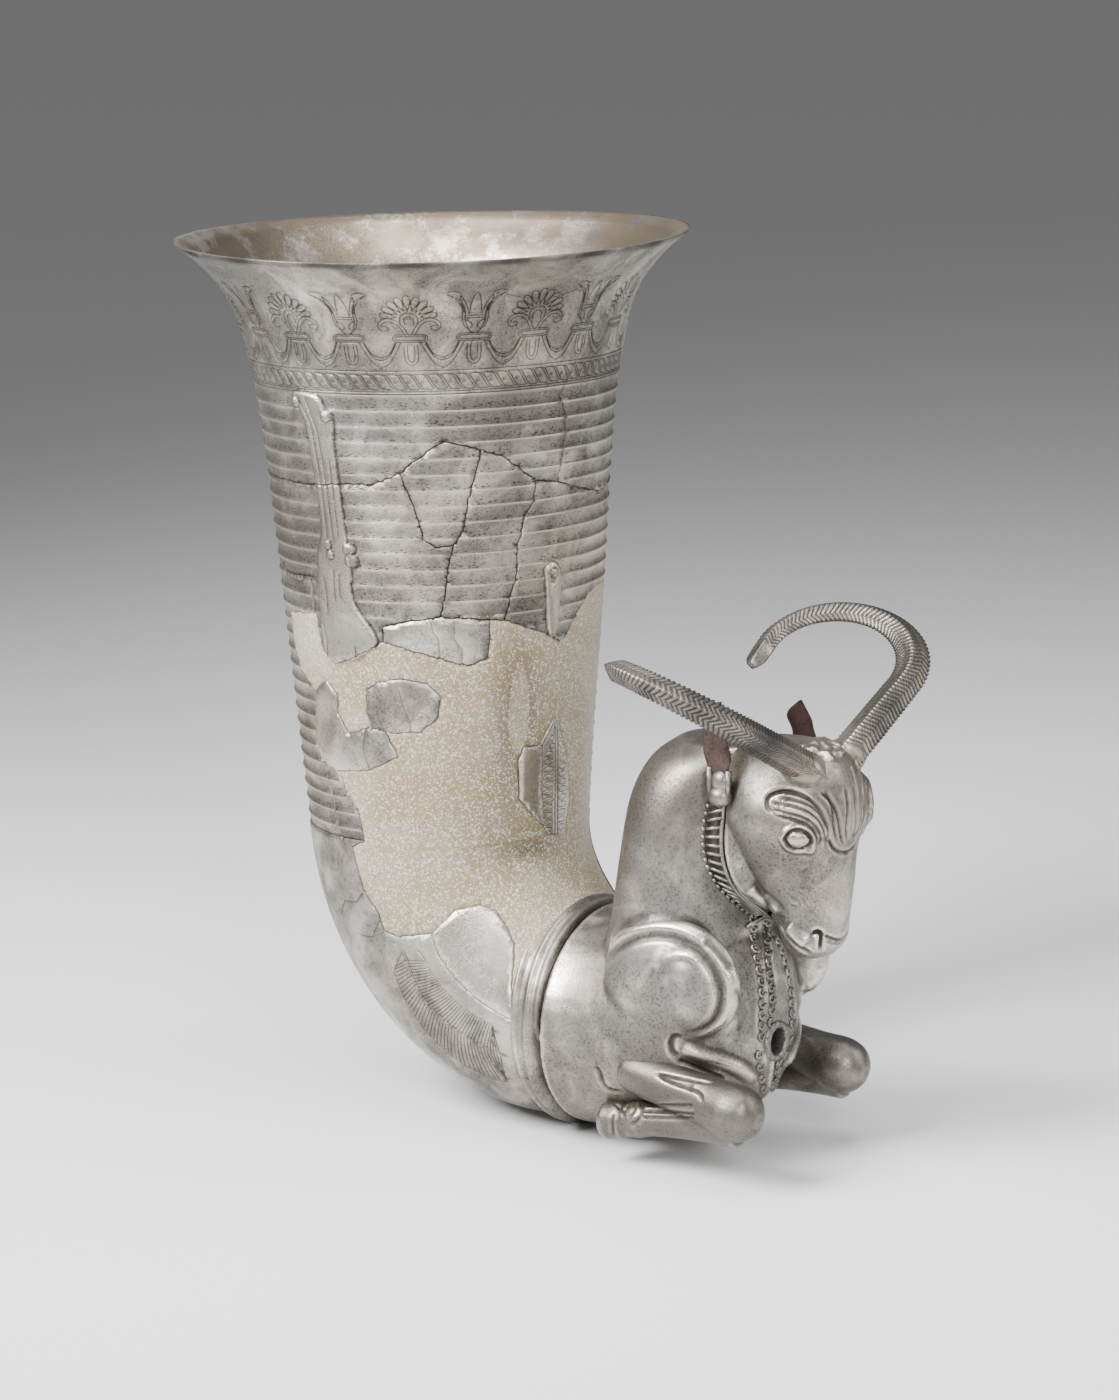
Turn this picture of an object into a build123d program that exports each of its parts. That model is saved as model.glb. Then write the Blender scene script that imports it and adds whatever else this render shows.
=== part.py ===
from build123d import *
import math
import os

# A silver drinking horn of some 26 cm. It stands mouth up, bends forward at its foot and ends in
# the forepart of an ibex, whose chest holds the spout. X points forward, Y to the animal's left
# and Z up. The origin is the underside of the collar, where a stand carries the cup.
os.makedirs("parts", exist_ok=True)

# Cup, in millimetres and degrees
horn_lean = 1.85
straight_length = 172.0
cone_mouth_radius = 55.7
foot_radius = 41.5
flare_growth = 19.3
flare_depth = 13.2
bend_radius = 52.5
bend_stop = 85.0
collar_radius = 32.4
silver_wall = 1.1
horn_sides = 40
lip_thickness = 2.2
lip_depth = 4.0
frieze_end = 40.0
flute_pitch = 4.55
flute_depth = 0.5
fill_sink = 0.3
mend_side_angle = 37.0
crack_level_depth = 67.0
back_crack_depth = 92.0
cut_over = 20.0

# Collar, sleeve and spout
collar_width = 9.0
collar_setback = 5.8
collar_tilt = 2.7
collar_proud = 0.4
collar_wall = 1.8
sleeve_wall = 1.0
sleeve_overlap = 2.5
sleeve_clearance = 0.4
spout_bore_radius = 3.7
spout_wall = 2.4
spout_length = 6.5
spout_height = 34.7
spout_proud = 1.0

# Forepart
body_length = 60.0
body_width = 63.0
body_height = 64.0
body_wall = 1.2
skin_sides = 24
hollow_sides = 16
limb_sides = 14
neck_top = 122.5
neck_width = 54.0
neck_depth = 48.0
head_length = 60.0
head_depth = 37.0
head_width = 45.0
head_top = 121.5
head_front = 86.5
head_wall = 1.2
shoulder_radius = 21.0
shoulder_height = 16.5
shoulder_bulge = 7.0
shoulder_turn = 8.0
eye_length = 8.6
eye_height = 6.6
eye_bulge = 3.2
eye_turn = 32.0

# Animal horns, ears and legs
curl_radius = 21.6
curl_stem = 29.5
curl_end = 11.0
curl_turn = 186.0
curl_root_back = 8.2
curl_root_side = 12.5
curl_root_height = 119.0
curl_pitch = 26.8
curl_rise = 13.4
horn_root_width = 10.6
horn_tip_width = 4.8
horn_root_thickness = 8.4
horn_tip_thickness = 4.2
horn_thinning = 1.6
horn_sections = 11
ear_length_right = 27.0
ear_length_left = 21.0
ear_width = 7.0
ear_thickness = 3.0
ear_forward = 57.0
ear_side = 20.5
ear_foot = 107.5
knee_forward = 68.0
knee_side = 27.0
knee_height = 21.7
knee_radius = 8.2
limb_radius = 6.4
shin_radius = 4.8
elbow_forward = 31.0
elbow_height = 27.0
hoof_forward = 23.5
hoof_height = 11.0
hoof_radius = 5.4

# Sizes worked out from the ones above
lean = math.radians(horn_lean)
stop = math.radians(bend_stop)
bend_length = bend_radius * (stop - lean)
mend = math.radians(mend_side_angle)


def horn_radius(depth):
    """Outer radius of the horn's skin at a depth below the mouth, along its axis."""
    taper = (cone_mouth_radius - foot_radius) / straight_length
    return cone_mouth_radius - taper * depth + flare_growth * math.exp(-depth / flare_depth)


def bend_section_radius(turn_share):
    """Outer radius round the bend, which shrinks slowly and then fast before the collar."""
    steady_share = 0.55
    late_share = 1 - steady_share
    shrink = steady_share * turn_share + late_share * turn_share**4
    return horn_radius(straight_length) - (horn_radius(straight_length) - collar_radius) * shrink


# The horn's axis ends in the collar's rear face, over the origin, and is traced back from there.
end_x = -collar_setback
end_z = collar_radius
body_start = end_x + collar_width
bend_centre_x = end_x + bend_radius * math.cos(stop)
bend_centre_z = end_z + bend_radius * math.sin(stop)
foot_x = bend_centre_x - bend_radius * math.cos(lean)
foot_z = bend_centre_z - bend_radius * math.sin(lean)
mouth_x = foot_x - straight_length * math.sin(lean)
mouth_z = foot_z + straight_length * math.cos(lean)
horn_frame = Location((mouth_x, 0, mouth_z), (0, -horn_lean, 0))
horn_height = mouth_z
middle_x = (foot_x + mouth_x) / 2
horn_reach = horn_radius(0) + cut_over
bore_shares = (0.0, 0.09, 0.27, 1.0)
bore_stations = [frieze_end + (straight_length - frieze_end) * share for share in bore_shares]


def ring(plane, along, across, sides):
    """Corners of an oval in a plane, half a step off its axes, so that its halves match."""
    angles = [2 * math.pi * (step + 0.5) / sides for step in range(sides)]
    return [
        plane.from_local_coords((along * math.cos(angle), across * math.sin(angle), 0))
        for angle in angles
    ]


def panelled(rings, one_axis=False):
    """Closed solid of flat panels from ring to ring, four-cornered where the rings share an axis."""
    outlines = [rings[0], rings[-1]]
    for lower, upper in zip(rings, rings[1:]):
        for corner in range(len(lower)):
            after = (corner + 1) % len(lower)
            quad = [lower[corner], lower[after], upper[after], upper[corner]]
            if one_axis:
                outlines.append(quad)
            else:
                outlines += [quad[:3], [quad[0], quad[2], quad[3]]]
    return Solid(Shell([Face(Wire.make_polygon(outline)) for outline in outlines]))


def horn_plane(depth):
    """Section plane of the straight horn, at a depth below the mouth along its axis."""
    origin = (mouth_x + depth * math.sin(lean), 0, mouth_z - depth * math.cos(lean))
    return Plane(origin=origin, x_dir=(0, 1, 0), z_dir=(math.sin(lean), 0, -math.cos(lean)))


def turned(stations):
    """Straight-sided round body through stations of a depth and a radius."""
    return panelled(
        [ring(horn_plane(depth), radius, radius, horn_sides) for depth, radius in stations],
        one_axis=True,
    )


def bend_plane(angle):
    """Section plane of the bend, at an angle of the axis from straight down."""
    centre = (
        bend_centre_x - bend_radius * math.cos(angle),
        0,
        bend_centre_z - bend_radius * math.sin(angle),
    )
    return Plane(origin=centre, x_dir=(0, 1, 0), z_dir=(math.sin(angle), 0, -math.cos(angle)))


def near_plane(forward):
    """Upright plane that faces the mended side, moved forward along the way that side faces."""
    origin = (middle_x + forward * math.sin(mend), -forward * math.cos(mend), 0)
    return Plane(
        origin=origin,
        x_dir=(math.cos(mend), math.sin(mend), 0),
        z_dir=(math.sin(mend), -math.cos(mend), 0),
    )


def outline_prism(shares, forward=0.0):
    """Cutter through the mended side, its outline in shares of the horn's height."""
    points = [(across * horn_height, up * horn_height) for across, up in shares]
    face = make_face(Polyline(*points, close=True))
    return extrude(near_plane(forward) * face, amount=horn_reach)


def level_block(top_depth, bottom_depth):
    """Slab square to the horn's axis between two depths below the mouth."""
    height = bottom_depth - top_depth
    block = Box(2 * horn_reach, 2 * horn_reach, height)
    return horn_frame * (Pos(0, 0, -top_depth - height / 2) * block)


def skin_radius(depth):
    """Radius of the skin below the frieze, as straight tapers between a few stations."""
    for upper, lower in zip(bore_stations, bore_stations[1:]):
        if depth <= lower:
            break
    share = (depth - upper) / (lower - upper)
    return horn_radius(upper) * (1 - share) + horn_radius(lower) * share


def inner_stations(first_depth, last_depth, growth):
    """Stations of a plain taper, grown against the line of the flute ridges."""
    between = [station for station in bore_stations if first_depth < station < last_depth]
    depths = [first_depth, *between, last_depth]
    return [(depth, skin_radius(depth) + growth) for depth in depths]


def smooth_wall(first_depth, last_depth, growth):
    """Plain turned wall, grown or sunk against the line of the flute ridges."""
    bore = inner_stations(first_depth - cut_over, last_depth + cut_over, -silver_wall)
    return turned(inner_stations(first_depth, last_depth, growth)) - turned(bore)


def cup_wall():
    """Whole straight wall: thick lip, flared mouth, and level flutes between sharp ridges."""
    flare_shares = (0.22, 0.38, 0.58, 0.80)
    flare = [lip_depth + (frieze_end - lip_depth) * share for share in flare_shares]
    skin = [(0, horn_radius(0)), (lip_thickness, horn_radius(0)), (lip_depth, horn_radius(lip_depth))]
    skin += [(depth, horn_radius(depth)) for depth in flare]
    skin.append((frieze_end, horn_radius(frieze_end)))
    count = round((straight_length - frieze_end) / flute_pitch)
    pitch = (straight_length - frieze_end) / count
    for flute in range(count):
        ridge = frieze_end + flute * pitch
        valley = ridge + pitch / 2
        skin.append((valley, horn_radius(valley) - flute_depth))
        skin.append((ridge + pitch, horn_radius(ridge + pitch)))
    mouth = horn_radius(0) - lip_thickness
    bore = [(-cut_over, mouth), (0, mouth)]
    bore += [(depth, horn_radius(depth) - silver_wall) for depth in [lip_depth, *flare]]
    bore += inner_stations(frieze_end, straight_length + cut_over, -silver_wall)
    return turned(skin) - turned(bore)


def bend_tube(shrink):
    """Solid of the bend through round sections, shrunk all round by a wall."""
    sections = 8
    rings = []
    for step in range(sections):
        share = step / (sections - 1)
        angle = lean + (stop - lean) * share
        radius = bend_section_radius(share) - shrink
        rings.append(ring(bend_plane(angle), radius, radius, horn_sides))
    return panelled(rings)


# Outlines on the mended side: across from the axis and up, in shares of the horn's height
middle_sherd_shares = (
    (0.050, 0.780), (0.076, 0.771), (0.096, 0.753), (0.109, 0.742), (0.094, 0.684), (0.089, 0.641),
    (0.083, 0.560), (0.009, 0.560), (0.009, 0.606), (0.019, 0.674), (0.033, 0.712),
)
small_sherd_shares = (
    (-0.039, 0.754), (-0.017, 0.773), (0.009, 0.790), (0.050, 0.780), (0.033, 0.712),
    (0.019, 0.674), (0.000, 0.672), (-0.018, 0.695), (-0.035, 0.738),
)
bright_sherd_shares = (
    (-0.060, 0.580), (-0.001, 0.593), (0.058, 0.587), (0.056, 0.545), (0.035, 0.539),
    (-0.037, 0.558), (-0.060, 0.563),
)
flank_sherd_shares = (
    (-0.081, 0.493), (-0.064, 0.514), (-0.031, 0.523), (0.003, 0.510), (0.005, 0.484),
    (-0.015, 0.459), (-0.043, 0.462), (-0.074, 0.468),
)
thigh_sherd_shares = (
    (-0.139, 0.512), (-0.140, 0.466), (-0.116, 0.402), (-0.079, 0.412), (-0.050, 0.425),
    (-0.060, 0.456), (-0.075, 0.460), (-0.102, 0.450), (-0.115, 0.473),
)
braid_sherd_shares = (
    (0.130, 0.467), (0.147, 0.411), (0.145, 0.364), (0.138, 0.323), (0.119, 0.340),
    (0.090, 0.388), (0.093, 0.437), (0.114, 0.443),
)
belly_sherd_shares = (
    (-0.008, 0.225), (0.027, 0.252), (0.048, 0.261), (0.072, 0.249), (0.082, 0.229),
    (0.080, 0.190), (0.076, 0.142),
)
fill_shares = (
    (-0.133, 0.564), (-0.090, 0.545), (-0.060, 0.559), (0.069, 0.585), (0.127, 0.551),
    (0.153, 0.592), (0.390, 0.598), (0.390, 0.120), (0.100, 0.120), (0.076, 0.142),
    (0.080, 0.190), (0.082, 0.229), (0.072, 0.249), (0.048, 0.261), (0.027, 0.252), (-0.008, 0.225),
    (-0.045, 0.220), (-0.063, 0.224), (-0.086, 0.249), (-0.111, 0.320), (-0.129, 0.394),
    (-0.139, 0.506),
)
skirt_shares = (
    (-0.133, 0.680), (0.390, 0.680), (0.390, 0.535), (-0.090, 0.535), (-0.133, 0.562),
)

# Cutters for the straight horn start at its axis, and those for the bend further forward.
bend_cut_share = 0.42
bend_cut_forward = bend_radius * bend_cut_share


def fill_cutters():
    """The two cutters of the restored area, one for the straight horn and one for the bend."""
    return outline_prism(fill_shares), outline_prism(fill_shares, bend_cut_forward)


def fluted_cup_pieces():
    """Upper wall, middle wall, rear wall and the two small sherds between the cracks."""
    wall = cup_wall()
    small = outline_prism(small_sherd_shares)
    middle = outline_prism(middle_sherd_shares)
    fill, _ = fill_cutters()
    rear_zone = level_block(back_crack_depth, straight_length + cut_over)
    rear_zone = rear_zone - outline_prism(skirt_shares)
    bright = outline_prism(bright_sherd_shares)
    upper = (wall & level_block(-cut_over, crack_level_depth)) - small - middle
    lower = wall & level_block(crack_level_depth, straight_length + cut_over)
    middle_wall = lower - rear_zone - small - middle - fill - bright
    rear = (lower & rear_zone) - fill - outline_prism(thigh_sherd_shares)
    return {
        "upper_wall": upper,
        "middle_wall": middle_wall,
        "small_wall_sherd": wall & small,
        "middle_wall_sherd": (wall & middle) - fill - bright,
        "rear_wall": rear,
    }


def mended_side_pieces():
    """Resin fill of the lost near side, with the silver sherds that are set in it."""
    first_depth = back_crack_depth - flute_pitch
    fill_wall = smooth_wall(first_depth, straight_length, -fill_sink)
    silver_skin = smooth_wall(first_depth, straight_length, 0.0)
    upper_cut, bend_cut = fill_cutters()
    bend_shell = bend_tube(0.0) - bend_tube(silver_wall)
    islands = {
        "bright_wall_sherd": bright_sherd_shares,
        "flank_sherd": flank_sherd_shares,
        "thigh_sherd": thigh_sherd_shares,
        "tail_braid_sherd": braid_sherd_shares,
    }
    pieces = {}
    fill = fill_wall & upper_cut
    for name, shares in islands.items():
        prism = outline_prism(shares)
        pieces[name] = silver_skin & prism
        fill = fill - prism
    belly = outline_prism(belly_sherd_shares, bend_cut_forward)
    pieces["belly_sherd"] = bend_shell & belly
    pieces["fill_panel"] = fill + ((bend_shell & bend_cut) - belly)
    pieces["bend_wall"] = bend_shell - bend_cut - belly
    return pieces


def collar_plane_front():
    """Front face of the collar, which the forepart meets."""
    tilt = math.radians(collar_tilt)
    return Plane(
        origin=(end_x + collar_width, 0, end_z),
        x_dir=(0, 1, 0),
        z_dir=(math.cos(tilt), 0, math.sin(tilt)),
    )


def round_length(back, back_radius, front, front_radius):
    """Round length from one plane to another."""
    return panelled([
        ring(back, back_radius, back_radius, horn_sides),
        ring(front, front_radius, front_radius, horn_sides),
    ])


def collar_pieces():
    """Wedge-shaped collar over the joint, and the hidden sleeve that lines it up."""
    back = bend_plane(stop)
    front = collar_plane_front()
    radius = collar_radius + collar_proud
    front_radius = radius - collar_proud
    inner = collar_radius - collar_wall
    band = round_length(back, radius, front, front_radius)
    band = band - round_length(back, inner, front, inner)
    sleeve_radius = collar_radius - collar_wall - sleeve_clearance
    sleeve_bore = sleeve_radius - sleeve_wall
    rear_share = 1 - sleeve_overlap / bend_length
    rear = bend_plane(lean + (stop - lean) * rear_share)
    ahead = front.offset(sleeve_overlap)
    sleeve = round_length(rear, sleeve_radius, ahead, sleeve_radius)
    sleeve = sleeve - round_length(rear, sleeve_bore, ahead, sleeve_bore)
    return {"collar_ring": band, "joint_sleeve": sleeve}


# Barrel sections, normal to X: forward, centre height, half height and half width as shares
barrel_shares = (
    (0.12, 0.505, 0.498, 0.502),
    (0.35, 0.535, 0.497, 0.508),
    (0.60, 0.580, 0.485, 0.490),
    (0.80, 0.620, 0.450, 0.405),
    (0.93, 0.640, 0.360, 0.280),
    (1.00, 0.640, 0.200, 0.150),
)
# Neck sections, normal to Z: height as a share of the neck's top, then back and front of the
# section in shares of the neck's depth, and half width in shares of its width
neck_shares = (
    (0.40, 0.100, 1.060, 0.480),
    (0.54, 0.200, 1.130, 0.510),
    (0.70, 0.270, 1.120, 0.500),
    (0.84, 0.330, 1.130, 0.460),
    (0.93, 0.440, 1.160, 0.380),
    (0.98, 0.600, 1.180, 0.240),
)
# Head sections, normal to Z: depth below the crown in shares of the head's length, then back and
# front set back from the face in shares of the head's depth, and half width in shares of its width
head_shares = (
    (0.00, 0.90, 0.22, 0.20),
    (0.05, 1.00, 0.08, 0.34),
    (0.16, 1.02, 0.01, 0.45),
    (0.32, 1.00, -0.02, 0.50),
    (0.48, 0.93, 0.00, 0.46),
    (0.64, 0.78, 0.00, 0.35),
    (0.80, 0.63, 0.03, 0.27),
    (0.92, 0.52, 0.08, 0.24),
    (0.985, 0.44, 0.17, 0.15),
)


def stations_for(shares, sides):
    """Every section for a skin, and every other one for the plainer hollow inside it."""
    if sides == skin_sides:
        return shares
    return shares[::2] if len(shares) % 2 else shares[::2] + shares[-1:]


def level_ring(back, front, half_width, height, sides):
    """Level oval between a back and a front place."""
    plane = Plane(origin=((back + front) / 2, 0, height))
    return ring(plane, (front - back) / 2, half_width, sides)


def barrel(shrink, sides=skin_sides):
    """Chest and belly, from the collar's round to the front of the chest."""
    radius = collar_radius - shrink
    rings = [ring(collar_plane_front(), radius, radius, sides)]
    for forward, middle, tall, wide in stations_for(barrel_shares, sides):
        centre = (body_start + forward * (body_length - shrink), 0, middle * body_height)
        plane = Plane(origin=centre, x_dir=(0, 1, 0), z_dir=(1, 0, 0))
        rings.append(ring(plane, wide * body_width - shrink, tall * body_height - shrink, sides))
    return panelled(rings)


def neck(shrink, sides=skin_sides):
    """Arched neck, from inside the barrel up to the crown."""
    rings = []
    for up, back, ahead, wide in stations_for(neck_shares, sides):
        rings.append(
            level_ring(
                body_start + back * neck_depth + shrink,
                body_start + ahead * neck_depth - shrink,
                wide * neck_width - shrink,
                up * (neck_top - shrink),
                sides,
            )
        )
    return panelled(rings)


def head(shrink, sides=skin_sides):
    """Long head with its face straight down, widest at the eyes."""
    rings = []
    for down, back, ahead, wide in stations_for(head_shares, sides):
        rings.append(
            level_ring(
                head_front - back * head_depth + shrink,
                head_front - ahead * head_depth - shrink,
                wide * head_width - shrink,
                head_top - shrink - down * (head_length - 2 * shrink),
                sides,
            )
        )
    return panelled(rings)


def lens(place, side, turn, shares, bulge, along, across, sides):
    """Low dome on a flank, which faces sideways and is turned a little forward."""
    forward = math.radians(turn)
    plane = Plane(
        origin=place,
        x_dir=(math.cos(forward), -side * math.sin(forward), 0),
        z_dir=(math.sin(forward), side * math.cos(forward), 0),
    )
    return panelled([
        ring(plane.offset(rise * bulge), wide * along, wide * across, sides)
        for rise, wide in shares
    ])


def shoulder(side):
    """Oval muscle of the shoulder, which stands proud of the barrel."""
    forward_share, side_share, up_share = 0.68, 0.385, 0.86
    place = (
        body_start + body_length * forward_share,
        side * body_width * side_share,
        body_height * up_share,
    )
    dome_shares = ((-1.0, 0.55), (0.0, 1.0), (0.5, 0.87), (0.85, 0.53), (1.0, 0.2))
    return lens(
        place, side, shoulder_turn, dome_shares, shoulder_bulge, shoulder_radius, shoulder_height, skin_sides
    )


def eye(side):
    """Almond bulge of the eye on the cheek."""
    back_share, side_share, down_share = 0.16, 0.405, 0.36
    place = (
        head_front - head_depth * back_share,
        side * head_width * side_share,
        head_top - head_length * down_share,
    )
    dome_shares = ((-1.0, 0.7), (0.0, 1.0), (0.6, 0.8), (1.0, 0.35))
    return lens(
        place, side, eye_turn, dome_shares, eye_bulge, eye_length / 2, eye_height / 2, limb_sides
    )


def spout_cylinder(radius, length):
    """Round body on the spout's axis, measured back from its proud front."""
    front = body_start + body_length + spout_proud
    return Pos(front, 0, spout_height) * Rot(0, -90, 0) * Cylinder(
        radius, length, align=(Align.CENTER, Align.CENTER, Align.MIN)
    )


def halves(name, solid):
    """The left and right half of a shell, which meet at the seam down the middle."""
    size = 4 * horn_height
    left = solid & (Pos(0, size / 2, 0) * Box(size, size, size))
    right = solid & (Pos(0, -size / 2, 0) * Box(size, size, size))
    return {name + "_left": left, name + "_right": right}


def curl_path(side):
    """Centre line of an animal horn: a straight stem, a round curl and a short straight tip."""
    pitch = math.radians(curl_pitch)
    rise = math.radians(curl_rise)
    out = Vector(0, side * math.cos(pitch), math.sin(pitch))
    climb = math.sin(rise)
    back = Vector(-math.cos(rise), -side * climb * math.sin(pitch), climb * math.cos(pitch))
    root = Vector(head_front - curl_root_back, side * curl_root_side, curl_root_height)
    stem_end = root + out * curl_stem
    centre = stem_end + back * curl_radius
    turn = math.radians(curl_turn)

    def on_curl(angle):
        return centre - back * (curl_radius * math.cos(angle)) + out * (curl_radius * math.sin(angle))

    heading = back * math.sin(turn) + out * math.cos(turn)
    curl = ThreePointArc(stem_end, on_curl(turn / 2), on_curl(turn))
    tip = on_curl(turn) + heading * curl_end
    return root, stem_end, curl, on_curl(turn), tip, back.cross(out)


def animal_horn(side):
    """Four-sided horn that thins from root to tip along its curl."""
    root, stem_end, curl, curl_stop, tip, normal = curl_path(side)
    path = Wire([Edge.make_line(root, stem_end), curl.edge(), Edge.make_line(curl_stop, tip)])
    sections = []
    for step in range(horn_sections):
        share = step / (horn_sections - 1)
        place = path.position_at(share)
        heading = path.tangent_at(share)
        thin = share**horn_thinning
        width = horn_root_width + (horn_tip_width - horn_root_width) * thin
        thickness = horn_root_thickness + (horn_tip_thickness - horn_root_thickness) * thin
        plane = Plane(origin=place, x_dir=normal, z_dir=heading)
        corners = ((0, width / 2), (thickness / 2, 0), (0, -width / 2), (-thickness / 2, 0))
        sections.append([plane.from_local_coords((x, y, 0)) for x, y in corners])
    return panelled(sections)


def ear(side):
    """Leaf-shaped ear that stands on its socket behind the cheek; the left one is worn shorter."""
    length = ear_length_left if side > 0 else ear_length_right
    shares = ((0.00, 0.60, 1.4), (0.22, 0.95, 1.7), (0.38, 0.85, 1.2), (0.70, 0.75, 0.9), (1.00, 0.10, 0.4))
    flat_share = 0.45
    rings = []
    for up, wide, thick in shares:
        half_width = wide * ear_width / 2
        half_thickness = thick * ear_thickness / 2
        plane = Plane(origin=(ear_forward, side * ear_side, ear_foot + up * length))
        flat = half_width * flat_share
        corners = (
            (half_width, 0), (flat, half_thickness), (-flat, half_thickness),
            (-half_width, 0), (-flat, -half_thickness), (flat, -half_thickness),
        )
        rings.append([plane.from_local_coords((x, y, 0)) for x, y in corners])
    return panelled(rings)


def limb(start, end, stations):
    """Round limb through stations of a share of its length and a radius."""
    axis = Vector(*end) - Vector(*start)
    plane = Plane(origin=start, x_dir=(0, 1, 0), z_dir=axis)
    return panelled([
        ring(plane.offset(share * axis.length), radius, radius, limb_sides)
        for share, radius in stations
    ])


def foreleg(side):
    """Folded foreleg: upper limb to the knee, and the shin folded back under it to the hoof."""
    elbow = (elbow_forward, side * knee_side, elbow_height)
    knee = (knee_forward, side * knee_side, knee_height)
    shin_start = (knee_forward, side * knee_side, knee_height - knee_radius + shin_radius)
    hoof = (hoof_forward, side * knee_side, hoof_height)
    cap_share = knee_radius / (knee_forward - elbow_forward)
    upper = limb(elbow, knee, (
        (0.0, limb_radius),
        (1.0, knee_radius),
        (1.0 + 0.62 * cap_share, 0.80 * knee_radius),
        (1.0 + cap_share, 0.33 * knee_radius),
    ))
    shin = limb(shin_start, hoof, (
        (0.0, shin_radius), (0.78, shin_radius), (0.86, hoof_radius), (1.0, hoof_radius),
    ))
    return upper + shin


def forepart_pieces():
    """Hollow body and head in two halves each, with the horns, ears, legs and spout."""
    head_skin = head(0.0) + eye(1) + eye(-1)
    outer = barrel(0.0) + neck(0.0) + shoulder(1) + shoulder(-1)
    hollow = barrel(body_wall, hollow_sides) + neck(body_wall, hollow_sides)
    body = outer - hollow - head_skin
    bore = spout_cylinder(spout_bore_radius, spout_length + spout_proud)
    spout = spout_cylinder(spout_bore_radius + spout_wall, spout_length)
    body = body - spout
    head_shell = head_skin - head(head_wall, hollow_sides)
    pieces = {"spout_ring": spout - bore}
    body_horns = {}
    for word, side in (("left", 1), ("right", -1)):
        body_horns["horn_" + word] = animal_horn(side) - head_skin - outer
        body_horns["ear_" + word] = ear(side) - head_skin - outer
        body_horns["foreleg_" + word] = foreleg(side) - outer
    pieces.update(halves("body", body))
    pieces.update(halves("head", head_shell))
    pieces.update(body_horns)
    return pieces


def largest(shape):
    """The one solid that a piece is, without crumbs left by cuts."""
    return max(shape.solids(), key=lambda solid: solid.volume)


pieces = collar_pieces()
pieces.update(forepart_pieces())
pieces.update(mended_side_pieces())
pieces.update(fluted_cup_pieces())
for name, shape in pieces.items():
    export_step(largest(shape), f"parts/{name}.step")
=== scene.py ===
import math
import random
import bpy
import numpy as np
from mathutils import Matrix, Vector, geometry, kdtree
from mathutils.bvhtree import BVHTree


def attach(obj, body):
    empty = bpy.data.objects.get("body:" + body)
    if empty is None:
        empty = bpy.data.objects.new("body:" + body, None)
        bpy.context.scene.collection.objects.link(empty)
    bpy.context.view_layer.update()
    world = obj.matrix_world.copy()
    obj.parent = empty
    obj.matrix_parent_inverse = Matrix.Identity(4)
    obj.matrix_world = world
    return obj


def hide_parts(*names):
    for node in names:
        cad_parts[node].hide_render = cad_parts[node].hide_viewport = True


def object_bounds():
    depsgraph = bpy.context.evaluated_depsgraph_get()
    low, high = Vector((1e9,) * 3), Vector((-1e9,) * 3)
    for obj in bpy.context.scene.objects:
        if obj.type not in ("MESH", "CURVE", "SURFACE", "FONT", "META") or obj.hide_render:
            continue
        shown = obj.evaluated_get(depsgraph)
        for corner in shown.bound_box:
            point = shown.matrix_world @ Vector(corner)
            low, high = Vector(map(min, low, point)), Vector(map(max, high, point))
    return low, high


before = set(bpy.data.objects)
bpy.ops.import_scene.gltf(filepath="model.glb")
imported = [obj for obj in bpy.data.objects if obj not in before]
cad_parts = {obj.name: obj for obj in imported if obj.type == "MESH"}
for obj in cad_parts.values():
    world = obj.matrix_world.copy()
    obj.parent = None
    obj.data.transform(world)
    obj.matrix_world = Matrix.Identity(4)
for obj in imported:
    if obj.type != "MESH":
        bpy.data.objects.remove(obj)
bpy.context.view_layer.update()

# Lengths in the dictionaries are millimetres, and meshes are written in metres.
mm = 0.001
shotSize = (1119, 1400)  # the photograph's frame, for places given by a pixel

shot = {
    "azimuth": 37.0,
    "elevation": 12.5,
    "distance": 1120.0,
    "target": (-13.3, 0.0, 122.7),
    "lens": 100.0,
    "sensor": 36.0,
    "nearest": 10.0,
}


def say(words):
    print("scene:", words, flush=True)


def awayFrom(azimuth, elevation):
    turn, rise = math.radians(azimuth), math.radians(elevation)
    return Vector((math.sin(turn) * math.cos(rise), -math.cos(turn) * math.cos(rise), math.sin(rise)))


def makeCamera():
    back = awayFrom(shot["azimuth"], shot["elevation"])
    place = (Vector(shot["target"]) + back * shot["distance"]) * mm
    data = bpy.data.cameras.new("shotCamera")
    data.lens = shot["lens"]
    data.sensor_fit = "VERTICAL"
    data.sensor_height = shot["sensor"]
    data.clip_start = shot["nearest"] * mm
    camera = bpy.data.objects.new("shotCamera", data)
    bpy.context.scene.collection.objects.link(camera)
    camera.location = place
    camera.rotation_euler = back.to_track_quat("Z", "Y").to_euler()
    bpy.context.scene.camera = camera
    return place, back


cameraPlace, cameraBack = makeCamera()
cameraRight = Vector((math.cos(math.radians(shot["azimuth"])), math.sin(math.radians(shot["azimuth"])), 0))
cameraUp = cameraBack.cross(cameraRight)
focalPixels = shot["lens"] / shot["sensor"] * shotSize[1]


def pixelRay(across, down):
    aim = cameraRight * ((across - shotSize[0] / 2) / focalPixels)
    aim -= cameraUp * ((down - shotSize[1] / 2) / focalPixels)
    return (aim - cameraBack).normalized()


bpy.ops.object.select_all(action="DESELECT")
say("camera placed")

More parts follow.
